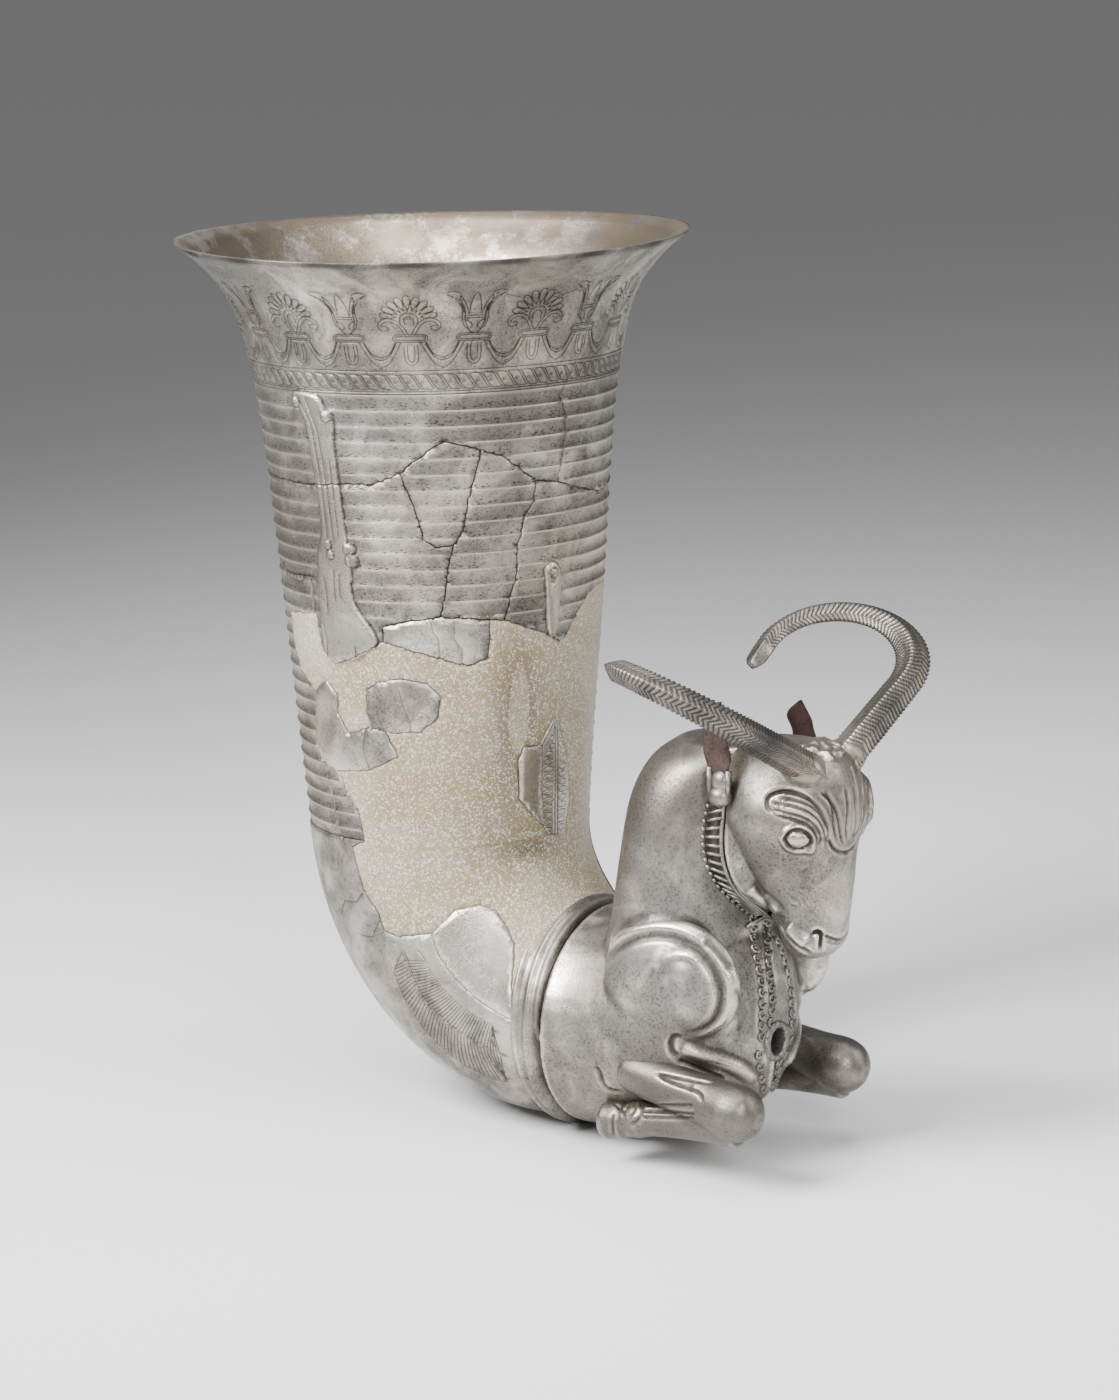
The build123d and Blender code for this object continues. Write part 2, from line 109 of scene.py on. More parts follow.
# The horn, by a depth along its axis and an angle round it (0 faces forward)
horn = {
    "lean": 1.85,
    "straight": 172.0,
    "coneMouth": 55.7,
    "coneFoot": 41.5,
    "flareGrowth": 19.3,
    "flareDepth": 13.2,
    "bendRadius": 52.5,
    "bendStop": 85.0,
    "collarRadius": 32.4,
    "endX": -5.8,
    "wall": 1.1,
    "friezeEnd": 40.0,
    "flutes": 29,
    "shrinkEven": 0.55,
    "shrinkLate": 0.45,
    "columnStep": 3.0,
}
lean = math.radians(horn["lean"])
bendStop = math.radians(horn["bendStop"])
bendX = horn["endX"] + horn["bendRadius"] * math.cos(bendStop)
bendZ = horn["collarRadius"] + horn["bendRadius"] * math.sin(bendStop)
bendEnd = horn["straight"] + horn["bendRadius"] * (bendStop - lean)
flutePitch = (horn["straight"] - horn["friezeEnd"]) / horn["flutes"]
unroll = 0.87  # millimetres of wall for a degree, for laying the wall out flat


def hornRadius(depth):
    taper = (horn["coneMouth"] - horn["coneFoot"]) / horn["straight"]
    cone = horn["coneMouth"] - taper * np.minimum(depth, horn["straight"])
    flare = horn["flareGrowth"] * np.exp(-np.minimum(depth, horn["straight"]) / horn["flareDepth"])
    share = np.clip((depth - horn["straight"]) / (bendEnd - horn["straight"]), 0, 1)
    shrink = (cone + flare - horn["collarRadius"]) * (horn["shrinkEven"] * share + horn["shrinkLate"] * share**4)
    return cone + flare - shrink


def hornPoint(depth, angle, radius):
    depth, angle, radius = np.broadcast_arrays(depth, np.radians(angle), radius)
    straight = np.minimum(depth, horn["straight"])
    turn = lean + np.maximum(depth - horn["straight"], 0) / horn["bendRadius"]
    centreX = bendX - horn["bendRadius"] * np.cos(turn) - (horn["straight"] - straight) * math.sin(lean)
    centreZ = bendZ - horn["bendRadius"] * np.sin(turn) + (horn["straight"] - straight) * math.cos(lean)
    out = radius * np.cos(angle)
    x = centreX + out * np.cos(turn)
    z = centreZ + out * np.sin(turn)
    return np.stack([x, radius * np.sin(angle), z], axis=-1)


def ringTurns(count):
    return np.linspace(0, 2 * math.pi, count, endpoint=False)


def smoothStep(value, low, high):
    share = np.clip((value - low) / (high - low), 0, 1)
    return share * share * (3 - 2 * share)


def densify(points, step, jitter=0.0, seed=1, closed=False):
    points = np.array(points, float)
    if closed:
        points = np.vstack([points, points[:1]])
    gaps = np.linalg.norm(np.diff(points, axis=0), axis=1)
    along = np.concatenate([[0], np.cumsum(gaps)])
    count = max(2, int(round(along[-1] / step)) + 1)
    spots = np.unique(np.concatenate([np.linspace(0, along[-1], count), along[1:-1] if jitter else []]))
    line = np.stack([np.interp(spots, along, points[:, axis]) for axis in (0, 1)], axis=1)
    if jitter:
        rng = np.random.default_rng(seed)
        fade = np.minimum(1, np.minimum(spots, along[-1] - spots) / 1.5)
        line += rng.normal(0, jitter, line.shape) * fade[:, None]
    return line


def rounded(points, turns=2, closed=False):
    points = np.array(points, float)
    for _ in range(turns):
        following = np.roll(points, -1, axis=0) if closed else points[1:]
        leading = points if closed else points[:-1]
        cut = np.stack([leading * 0.75 + following * 0.25, leading * 0.25 + following * 0.75], axis=1)
        cut = cut.reshape(-1, 2)
        points = cut if closed else np.vstack([points[:1], cut[1:-1], points[-1:]])
    return points


def flat(pairs):
    pairs = np.array(pairs, float)
    return np.stack([pairs[:, 1] * unroll, pairs[:, 0]], axis=1)


def inPolygon(points, polygon):
    inside = np.zeros(len(points), bool)
    x, y = points[:, 0], points[:, 1]
    ends = np.roll(polygon, -1, axis=0)
    for (x0, y0), (x1, y1) in zip(polygon, ends):
        if y0 == y1:
            continue
        crosses = ((y0 > y) != (y1 > y)) & (x < (x1 - x0) * (y - y0) / (y1 - y0) + x0)
        inside ^= crosses
    return inside


def treeOf(points):
    tree = kdtree.KDTree(len(points))
    for index, point in enumerate(points):
        tree.insert((*point, 0)[:3], index)
    tree.balance()
    return tree


def nearest(points, samples):
    tree = treeOf(samples)
    return np.array([tree.find((point[0], point[1], 0))[2] for point in points])


# Places on the wall, each a depth below the mouth and an angle
wallLines = {
    "mainCrack": [
        (67, -225), (67, -150), (67.5, -122), (67.9, -101.8), (66.7, -83.1), (66.7, -74), (65.1, -68.8),
        (63.4, -63.8), (58.9, -57.1), (55.6, -52.2), (54.6, -49.4), (55.2, -45.7), (57.4, -37.6),
        (59.8, -29.8), (64.6, -23), (67.3, -18.4), (68.8, -8.7), (70.7, -1.7), (72.5, 6.6), (74.2, 16.3),
        (72.6, 30), (69, 50), (67, 80), (67, 135),
    ],
    "crackA": [
        (57.4, -37.6), (65.7, -40.1), (74.7, -42.9), (80.1, -43.7), (84.2, -47.3), (91.4, -49.3),
        (99.7, -50.6), (104.8, -52.5),
    ],
    "crackB": [
        (67.3, -18.4), (73.5, -19), (77.2, -22.4), (82, -23.6), (85, -24.9), (92.8, -24.9), (99, -27.1),
        (106.9, -29.5),
    ],
    "crackD": [(63.4, -63.8), (66.3, -62.6), (72.5, -60), (78.6, -58.1), (82.6, -56.6), (84.6, -53.1), (84.2, -47.3)],
    "rearTopLeft": [(92, -225), (92, -135), (95.5, -119), (94.7, -103.2), (105.5, -103)],
    "rearTopRight": [(92, 135), (92, 37), (102.4, 37)],
    "fillTopLeft": [
        (107.5, -122.9), (106.5, -112.8), (105.5, -103), (116.7, -100.9), (119.5, -94), (117.9, -87.2),
        (115.1, -80.1), (111.9, -73.1),
    ],
    "fillTopRight": [
        (106.5, -35.1), (106.9, -29.5), (112, -13.3), (115.4, -5.9), (113.7, -1.6), (108.1, 5.3),
        (103.6, 13.1), (102.4, 22.8), (102.4, 37),
    ],
    "fillRight": [(102.4, 37), (172, 37), (bendEnd, 37)],
    "fillLeftTop": [(107.5, -122.9), (115.9, -123.5), (123.6, -119), (128.7, -108.1)],
    "fillLeftLow": [
        (151.9, -100), (157.2, -95.9), (162.9, -90), (171.8, -88.3), (174.1, -95.1), (181.1, -94.1),
        (186.8, -93.6), (193.9, -90.4), (198.9, -91.9), (203, -85.3), (205.5, -77.6), (208.1, -71.9),
    ],
    "bendTopLeft": [(172, -225), (172, -120), (171.8, -88.3)],
    "bendTopRight": [(172, 37), (172, 135)],
}
wallRings = {
    "bright_wall_sherd": [
        (107.5, -72.8), (105.6, -62), (104.8, -52.5), (105.3, -43), (106.5, -35.1), (112, -35), (117.2, -35.9),
        (119.2, -42.8), (117, -52), (113.6, -65.5), (111.9, -73.1),
    ],
    "flank_sherd": [
        (126.3, -81.4), (123.7, -75.4), (122.6, -67.7), (124, -57.6), (127.9, -53.1), (134, -54.5),
        (138.1, -61.3), (138.9, -72.1), (137.5, -80.1), (132.9, -82.1),
    ],
    "thigh_sherd": [
        (135.8, -110), (145.6, -112.2), (149.7, -108.7), (151.9, -100), (150.1, -82.5), (145.6, -70.3),
        (142.2, -72.4), (137.5, -75.2), (137.2, -80.5), (140.1, -91.4), (134.3, -96), (128.9, -95.1),
        (125, -100.9), (128.7, -108.1),
    ],
    "tail_braid_sherd": [
        (137.4, -7), (142, -3.4), (151.5, 2.0), (163.7, 3.7), (176.9, 0.1), (176.4, -4.6), (169.7, -10.5),
        (167.2, -14.3), (160.2, -22.9), (148.8, -23.6), (144.9, -21.1), (144.6, -13.8),
    ],
    "belly_sherd": [
        (208.1, -71.9), (207.1, -65.1), (205.6, -57.1), (209.7, -47.7), (217.8, -43.1), (228.8, -44.4),
        (236.9, -48.2), (241.2, -55.1), (245.1, -69.4), (bendEnd, -84), (236, -80.5), (225, -77.5), (215, -75),
    ],
}
wallLook = {
    "crackStep": 1.3,
    "darkCracks": ("mainCrack", "crackA", "crackB", "crackD", "rearTopLeft"),
    "crackJitter": 0.13,
    "crackJoin": 84.3,
    "crackHalf": 0.3,
    # half width, depth and darkness of each kind of groove
    "cuts": {
        "dark": (0.3, 0.42, 1.0),
        "soft": (0.3, 0.3, 0.45),
        "branch": (0.28, 0.35, 0.9),
        "frieze": (0.32, 0.3, 0.95),
        "marks": (0.28, 0.28, 0.8),
    },
    "fillSink": 0.3,
    "sherdRise": 0.0,
    "pillow": {
        "belly_sherd": 0.12, "flank_sherd": 0.45, "thigh_sherd": 0.45, "bright_wall_sherd": 0.3,
        "tail_braid_sherd": 0.2,
    },
    "pillowEdge": 3.2,
    "firstFlute": 1.3,
    # height, groove darkness, bright ridge and stippling by the place across a flute; the groove darkness is painted
    # shade in each channel, the bright ridge painted highlight with worn, clean silver
    "fluteShares": (0.0, 0.08, 0.2, 0.5, 0.78, 0.93, 1.0),
    "fluteHeights": (0.0, -0.18, -0.38, -0.5, -0.44, -0.2, 0.0),
    "grooves": ((0, 0.05, 0.2, 0.62, 0.86, 0.97, 1.0), (0, 0.05, 0.12, 0.3, 0.9, 0.9, 0)),
    "grooveTone": 0.8,
    "ridges": ((0, 0.06, 0.1, 0.92, 0.96, 1.0), (1, 0.6, 0, 0, 0.5, 1)),
    "stipples": ((0, 0.1, 0.3, 0.6, 0.9, 1), (0, 0.25, 0.6, 1, 1, 0)),
    "lipWall": 1.1,
    "lipRound": (0.55, 0.9),
    "fillLines": 0.3,
    "friezeRow": 2.5,
    "bendRow": 2.6,
    "lipFall": 2.9,
    "lipFront": -53.0,
    "lipReach": 30.0,
    "island": 400,
}

lines = {}
for number, (name, pairs) in enumerate(wallLines.items()):
    lines[name] = densify(flat(pairs), wallLook["crackStep"], wallLook["crackJitter"], number)
rings = {}
for number, (name, pairs) in enumerate(wallRings.items()):
    rings[name] = densify(flat(pairs), wallLook["crackStep"], wallLook["crackJitter"], 40 + number, closed=True)


def joined(*parts):
    return np.vstack(parts)


def depthOfMainCrack(across):
    line = lines["mainCrack"]
    order = np.argsort(line[:, 0])
    return np.interp(across, line[order, 0], line[order, 1])


def between(line, start, stop):
    keep = (line[:, 0] >= start * unroll - 0.01) & (line[:, 0] <= stop * unroll + 0.01)
    return line[keep]


mainLine, lineA, lineB, lineD = (lines[name] for name in ("mainCrack", "crackA", "crackB", "crackD"))
upperOfA = lineA[lineA[:, 1] <= wallLook["crackJoin"]]
zones = {
    "small_wall_sherd": joined(between(mainLine, -63.8, -37.6), upperOfA, lineD[::-1]),
    "middle_wall_sherd": joined(between(mainLine, -37.6, -18.4), lineB, lineA[::-1]),
    "fill_panel": joined(
        lines["fillLeftTop"], flat([(140, -100)]), lines["fillLeftLow"],
        flat([(230, -65), (bendEnd, -84), (bendEnd, 37)]), lines["fillRight"][::-1], lines["fillTopRight"][::-1],
        flat([(110, -50)]), lines["fillTopLeft"][::-1],
    ),
    "rear_left": joined(lines["rearTopLeft"], flat([(140, -105), (160, -100)]), lines["bendTopLeft"][::-1]),
    "rear_right": joined(lines["rearTopRight"][::-1], flat([(172, 135), (172, 37)])),
}


def pieceOf(spots):
    owner = np.full(len(spots), "", dtype=object)

    def claim(name, mask):
        owner[(owner == "") & mask] = name

    for name, ring in rings.items():
        claim(name, inPolygon(spots, ring))
    claim("small_wall_sherd", inPolygon(spots, zones["small_wall_sherd"]))
    claim("upper_wall", spots[:, 1] < depthOfMainCrack(spots[:, 0]))
    claim("fill_panel", inPolygon(spots, zones["fill_panel"]))
    claim("middle_wall_sherd", inPolygon(spots, zones["middle_wall_sherd"]))
    claim("bend_wall", spots[:, 1] > horn["straight"])
    claim("rear_wall", inPolygon(spots, zones["rear_left"]) | inPolygon(spots, zones["rear_right"]))
    claim("middle_wall", np.ones(len(spots), bool))
    return owner


# Engraved band below the mouth, in millimetres across from a motif and down from the mouth
frieze = {
    "motifs": 20,
    "turn": 14.0,
    "widen": 1.12,
    "tieTop": 23.6,
    "tieHeight": 2.4,
    "tieHalf": 4.4,
    "knots": 88,
    "knotTop": 35.3,
    "knotEnd": 39.6,
    "dot": 0.42,
    "drawnAt": 50.0,
    "petals": 9,
    "petalHeart": 18.6,
    "borders": (34.3, 40.2, 41.0),
}


def mirrored(curve):
    return [curve, [(-across, down) for across, down in curve]]


def petal(heartX, heartDown, angle, near, far, half):
    outline = [(0, near), (0.55, near + 0.3 * (far - near)), (1.0, near + 0.78 * (far - near)), (0.55, far)]
    outline += [(-side, reach) for side, reach in outline[::-1]]
    sin, cos = math.sin(angle), math.cos(angle)
    turned = [
        (heartX + reach * sin + side * half * cos, heartDown - reach * cos + side * half * sin)
        for side, reach in outline
    ]
    return turned + turned[:1]


def tieStrokes():
    strokes = []
    for inset in (0.0, 0.55):
        half, top = frieze["tieHalf"] - inset, frieze["tieTop"] + inset
        low = frieze["tieTop"] + frieze["tieHeight"] - inset
        middle = (top + low) / 2
        strokes.append([
            (-half, middle), (-half + 0.3, top), (0, top), (half - 0.3, top), (half, middle),
            (half - 0.3, low), (0, low), (-half + 0.3, low), (-half, middle),
        ])
    bud = [(-1.7, 27.2), (-1.8, 30.6), (-1.2, 32.3), (0, 32.9), (1.2, 32.3), (1.8, 30.6), (1.7, 27.2)]
    strokes += [bud, [(across * 0.5, 27.4 + (down - 27.2) * 0.8) for across, down in bud]]
    half = 7.9
    for low, start in ((30.6, 2.6), (31.4, 2.3), (33.4, 1.2)):
        arc = [(start + 1.4, 26.3), (start + 1.9, 27.8), (half * 0.72, low - 0.7), (half, low)]
        strokes += mirrored(arc)
    return strokes


def palmetteStrokes():
    strokes = []
    volute = [
        (0.5, 23.4), (1.4, 21.2), (3.0, 19.0), (5.2, 18.2), (7.2, 18.9), (8.0, 20.5), (7.5, 22.1),
        (6.1, 22.6), (5.1, 21.8), (5.4, 20.8), (6.2, 20.9),
    ]
    inner = [(1.5, 23.3), (2.4, 21.2), (3.8, 19.7), (5.3, 19.2), (6.6, 19.8), (7.1, 20.8)]
    strokes += mirrored(volute) + mirrored(inner)
    strokes.append([(-2.2, 19.6), (-2.3, 18.2), (-1.6, 16.9), (0, 16.3), (1.6, 16.9), (2.3, 18.2), (2.2, 19.6)])
    strokes.append([(-1.1, 20.4), (-1.3, 18.6), (0, 17.5), (1.3, 18.6), (1.1, 20.4)])
    for number in range(frieze["petals"]):
        angle = math.radians(-78 + 156 * number / (frieze["petals"] - 1))
        strokes.append(petal(0, frieze["petalHeart"], angle, 3.0, 8.0 - 0.5 * abs(angle), 1.0))
    return strokes


def lotusStrokes():
    strokes = []
    for inset in (0.0, 0.7):
        strokes += mirrored([
            (0.7 + inset * 0.3, 23.4), (2.6 - inset, 21.6), (3.3 - inset, 19.2), (3.2 - inset, 16.6),
            (4.0 - inset, 13.8), (6.0 - inset, 11.6), (8.2 - inset, 10.2 + inset * 0.8),
        ])
    strokes += [[(-2.6, 18.0), (2.6, 18.0)], [(-2.6, 18.8), (2.6, 18.8)]]
    strokes.append([(-1.5, 17.4), (-1.4, 14.0), (0, 9.0), (1.4, 14.0), (1.5, 17.4)])
    strokes += mirrored([(1.7, 17.2), (2.3, 14.4), (4.4, 10.2), (3.9, 13.2), (3.0, 16.6)])
    strokes += mirrored([(4.4, 10.2), (6.1, 9.5), (8.2, 10.2)])
    strokes += mirrored([(2.2, 19.4), (0.9, 20.2), (0.5, 21.8), (1.6, 22.4), (2.0, 21.2)])
    return strokes


def friezeLines():
    cells = []
    for number in range(frieze["motifs"]):
        centre = 360 / frieze["motifs"] * number + frieze["turn"]
        strokes = tieStrokes() + (lotusStrokes() if number % 2 else palmetteStrokes())
        for stroke in strokes:
            curve = rounded(stroke, 2)
            grow = frieze["drawnAt"] / hornRadius(curve[:, 1])
            cells.append(np.stack([centre * unroll + curve[:, 0] * grow * frieze["widen"], curve[:, 1]], axis=1))
    top, end = frieze["knotTop"], frieze["knotEnd"]
    middle, step = (top + end) / 2, 360 / frieze["knots"] * unroll
    for knot in range(frieze["knots"]):
        start = knot * step
        for shift in (0.0, 0.8):
            wave = [(-1.0, top), (-0.35, top), (-0.1, middle - 0.6), (0.1, middle + 0.6), (0.35, end), (1.0, end)]
            cells.append(np.array([(start + shift + across * step, down) for across, down in rounded(wave, 2)]))
        turns = np.linspace(0, 2 * math.pi, 7)
        dot = [(start + step / 2 + frieze["dot"] * math.cos(a), middle + frieze["dot"] * math.sin(a)) for a in turns]
        cells.append(np.array(dot))
    for down in frieze["borders"]:
        cells.append(np.array([(0, down), (360 * unroll, down)]))
    return cells


span = (-225 * unroll, 135 * unroll)


def wrapped(points):
    points = points.copy()
    points[:, 0] = (points[:, 0] - span[0]) % (span[1] - span[0]) + span[0]
    return points


def offSeam(points, margin):
    return points[(points[:, 0] > span[0] + margin) & (points[:, 0] < span[1] - margin)]


def sideOf(line):
    ahead = np.gradient(line, axis=0)
    ahead /= np.maximum(np.linalg.norm(ahead, axis=1), 1e-9)[:, None]
    return np.stack([-ahead[:, 1], ahead[:, 0]], axis=1)


def strokeSamples(curves, step, half):
    middles, sides = [], []
    for curve in curves:
        line = densify(curve, step)
        across = sideOf(line) * half
        middles.append(line)
        sides += [line + across, line - across]
    return wrapped(np.vstack(middles)), wrapped(np.vstack(sides))


def thinned(sets, gap):
    cells, kept = {}, []
    for points in sets:
        for x, y in points:
            key = (int(x // gap), int(y // gap))
            near = [spot for i in (-1, 0, 1) for j in (-1, 0, 1) for spot in cells.get((key[0] + i, key[1] + j), ())]
            if all((x - a) ** 2 + (y - b) ** 2 > gap * gap for a, b in near):
                cells.setdefault(key, []).append((x, y))
                kept.append((x, y))
    return np.array(kept)


# Raised smooth pieces of the first horn: a stag-like leg at the left and the tip of a tail
reliefs = {
    "leg": [
        (40.4, -102.7), (46.6, -97.5), (49.7, -96.3), (61.6, -95.4), (71.6, -94.3), (81.7, -94.1),
        (86, -97.2), (92.2, -98.2), (99, -99.6), (104.5, -98.9), (111, -99.5), (117, -99.5), (120, -95),
        (118.5, -87), (115.5, -79.5), (111.9, -73.9), (105.5, -79.8), (99.9, -84.5), (92, -83.5), (88, -82.4),
        (86.2, -84.4), (84.5, -82.6), (82.5, -84.5), (76, -84.6), (69.1, -85.1), (61, -85.6), (54.2, -85.9),
        (51, -85.2), (48.8, -84.8), (45, -88.4), (41.3, -89.3),
    ],
    "tail": [
        (114.6, -9.4), (111.5, -12.4), (104, -13.0), (97, -13.6), (94.2, -14.4), (92, -13.4), (91.2, -10.6),
        (92.2, -7.8), (94.8, -6.4), (100.2, -6.4), (107, -6.7), (112, -7.6),
    ],
}
reliefLook = {
    "rise": 0.85,
    "edge": 0.9,
    "sink": 0.1,
    "darkening": 0.9,
    "dirtReach": 0.35,
    "lineReach": 0.12,
    "shine": 0.45,
    "ringReach": (-0.9, -0.45, 0.3, -0.2, 0.45, 0.9),
    # depth, angle and radius of the knobs at the leg's joints
    "knobs": [
        (47.5, -87.2, 1.7), (85.5, -83.2, 1.9), (88.6, -82.6, 2.0), (87.4, -90.8, 1.5), (84.4, -91.4, 1.5),
        (44, -99, 1.6), (94.6, -10.6, 1.5),
    ],
    "knobReach": (0.0, 0.45, 0.8, 1.02, 1.25),
    "knobBase": 0.5,
    "knobRise": 0.75,
    "knobLine": 0.3,
}


def wallRows():
    rows = [0.0, 0.5, 1.2, 2.0, 2.8, 4.2]
    rows += list(np.arange(6.5, horn["friezeEnd"] - 6.5, wallLook["friezeRow"]))
    first = horn["friezeEnd"] + wallLook["firstFlute"]
    ridges = [first + flutePitch * number for number in range(horn["flutes"] + 1)]
    for ridge in ridges[:-1]:
        rows += [ridge + share * flutePitch for share in wallLook["fluteShares"][:-1]]
    rows += list(np.linspace(ridges[-1], bendEnd, int((bendEnd - ridges[-1]) / wallLook["bendRow"])))
    return np.array(rows), ridges


def wallHeights(spots, samples):
    across, down = spots[:, 0], spots[:, 1]
    ridges = samples["ridges"]
    share = ((down - ridges[0]) / flutePitch) % 1.0
    height = np.interp(share, wallLook["fluteShares"], wallLook["fluteHeights"])
    fluted = smoothStep(down, ridges[0] - 0.4, ridges[0] + 0.1) * (1 - smoothStep(down, ridges[-1] - 0.6, ridges[-1]))
    height = height * fluted
    # painted shade: darker in each flute channel, just above the next ridge
    groove = fluted * wallLook["grooveTone"] * np.interp(share, *wallLook["grooves"])
    # painted highlight on each flute ridge, with the tarnish worn off it
    ridge = fluted * np.interp(share, *wallLook["ridges"])
    for ring in samples["relief"].values():
        inside = inPolygon(spots, ring)
        near = inside | (np.abs(across - ring[:, 0].mean()) < 40)
        away = np.full(len(spots), 9.0)
        away[near] = nearest(spots[near], densify(ring, 0.25, closed=True))
        lift = np.where(inside, np.clip(away / reliefLook["edge"], 0, 1) ** 0.5, 0)
        height = np.where(inside, reliefLook["rise"] * lift - reliefLook["sink"], height)
        groove = np.where(inside, 0, np.maximum(groove, reliefLook["darkening"] * (away < reliefLook["dirtReach"])))
        groove = np.where(inside & (away < reliefLook["lineReach"]), reliefLook["darkening"], groove)
        ridge = np.where(inside, reliefLook["shine"], ridge)
    for knobDown, knobAngle, radius in reliefLook["knobs"]:
        away = np.hypot(across - knobAngle * unroll, down - knobDown)
        dome = np.sqrt(np.clip(1 - (away / radius) ** 2, 0, 1))
        raised = np.maximum(height, reliefLook["knobBase"]) + reliefLook["knobRise"] * dome
        height = np.where(away < radius, raised, height)
        atFoot = np.abs(away - radius) < reliefLook["knobLine"]
        groove = np.where(atFoot, reliefLook["darkening"], np.where(away < radius, 0, groove))
    marked = np.zeros(len(spots))
    for points, half, depth, dark in samples["grooves"]:
        away = nearest(spots, points)
        cut = np.clip(1 - away / half, 0, 1)
        height -= depth * cut
        marked = np.maximum(marked, dark * smoothStep(cut, 0.0, 0.8))
        ridge = ridge * (1 - cut)
    return height, np.maximum(groove, marked), ridge, marked


# Faces between rings of points: an open row of rings is capped, a closed one meets itself
def tubeFaces(count, sides, closed=False):
    faces = []
    for row in range(count if closed else count - 1):
        low, high = row * sides, (row + 1) % count * sides
        faces += [(low + s, low + (s + 1) % sides, high + (s + 1) % sides, high + s) for s in range(sides)]
    if not closed:
        faces += [tuple(range(sides))[::-1], tuple(range((count - 1) * sides, count * sides))]
    return faces


def evenNormals(piece):
    bpy.ops.object.select_all(action="DESELECT")
    piece.select_set(True)
    bpy.context.view_layer.objects.active = piece
    bpy.ops.object.mode_set(mode="EDIT")
    bpy.ops.mesh.select_all(action="SELECT")
    bpy.ops.mesh.normals_make_consistent(inside=False)
    bpy.ops.object.mode_set(mode="OBJECT")
    piece.data.shade_smooth()
    piece.select_set(False)
    return piece


def pieceMesh(name, vertices, faces, attributes=None):
    mesh = bpy.data.meshes.new(name)
    mesh.from_pydata([tuple(vertex) for vertex in vertices], [], [tuple(face) for face in faces])
    mesh.update()
    for key, values in (attributes or {}).items():
        layer = mesh.attributes.new(key, "FLOAT", "POINT")
        layer.data.foreach_set("value", np.asarray(values, dtype=np.float32))
    piece = bpy.data.objects.new(name, mesh)
    bpy.context.scene.collection.objects.link(piece)
    return piece


def lipFall(spots):
    fall = 1 - smoothStep(spots[:, 1], 0, wallLook["lipReach"])
    turn = np.radians(spots[:, 0] / unroll - wallLook["lipFront"])
    return wallLook["lipFall"] * fall * ((1 + np.cos(turn)) / 2) ** 2


feather = {
    "outer": [(207, -89.4), (209.2, -98.7), (217, -106.6), (226.6, -114.1), (234.6, -119.8), (245.5, -122.7)],
    "inner": [(209.5, -81.5), (213, -81.6), (219.5, -84.5), (232, -87.6), (242.3, -89.6)],
    "midrib": [(208.7, -89.7), (211, -91), (220, -97.5), (231.1, -100.7), (245.7, -104.6)],
    "barbs": 40,
    "slant": 0.11,
}
braid = {
    "rib": [(139.5, -6.4), (150, -5.6), (160, -5.2), (176.5, -4.2)],
    "rows": 14,
    "first": 143.5,
    "pitch": 2.28,
    "loopHalf": 2.7,
    "loopTall": 0.86,
    "left": -9.7,
    "right": -1.3,
}


def alongLine(pairs, shares):
    pairs = np.array(pairs, float)
    gaps = np.concatenate([[0], np.cumsum(np.linalg.norm(np.diff(flat(pairs), axis=0), axis=1))])
    return np.stack([np.interp(np.array(shares) * gaps[-1], gaps, pairs[:, axis]) for axis in (0, 1)], axis=1)


def engravedLines():
    strokes = []
    shares = np.linspace(0.02, 0.98, feather["barbs"])
    ends = np.clip(shares + feather["slant"], 0, 1)
    roots, outer, inner = (
        alongLine(feather[name], at) for name, at in (("midrib", shares), ("outer", ends), ("inner", ends))
    )
    for root, above, below in zip(roots, outer, inner):
        strokes += [[tuple(root), tuple(above)], [tuple(root), tuple(below)]]
    strokes += [feather["outer"], feather["inner"], feather["midrib"], [(s, a + 1.2) for s, a in feather["midrib"]]]
    strokes += [[(s, a + shift) for s, a in braid["rib"]] for shift in (-0.7, 0.7)]
    for row in range(braid["rows"]):
        for side in ("left", "right"):
            down = braid["first"] + row * braid["pitch"]
            half = braid["loopHalf"] * min(1, 0.35 + row * 0.22)
            middle = braid[side] if row > 1 else braid["rib"][0][1] + (braid[side] - braid["rib"][0][1]) * 0.6
            strokes.append([
                (down + braid["loopTall"] * math.sin(turn), middle + half * math.cos(turn))
                for turn in np.linspace(0, 2 * math.pi, 11)
            ])
    return strokes


# Lines that the triangles must follow, as points and edges
def fixedOutline(reliefRings):
    fixed, edges = [], []
    closedLines = [ring[:-1] for ring in (*rings.values(), *reliefRings.values())]
    for line, closed in [(line, False) for line in lines.values()] + [(line, True) for line in closedLines]:
        start = len(fixed)
        fixed += map(tuple, line)
        edges += [(start + i, start + i + 1) for i in range(len(line) - 1)]
        if closed:
            edges.append((start + len(line) - 1, start))
    return fixed, edges


def reliefSamples(reliefRings):
    sets = []
    for knobDown, knobAngle, radius in reliefLook["knobs"]:
        for reach in reliefLook["knobReach"]:
            turns = ringTurns(1 if reach == 0 else 14)
            across = knobAngle * unroll + reach * radius * np.cos(turns)
            sets.append(np.stack([across, knobDown + reach * radius * np.sin(turns)], axis=1))
    for ring in reliefRings.values():
        sets += [ring + sideOf(ring) * reach for reach in reliefLook["ringReach"]]
    return sets


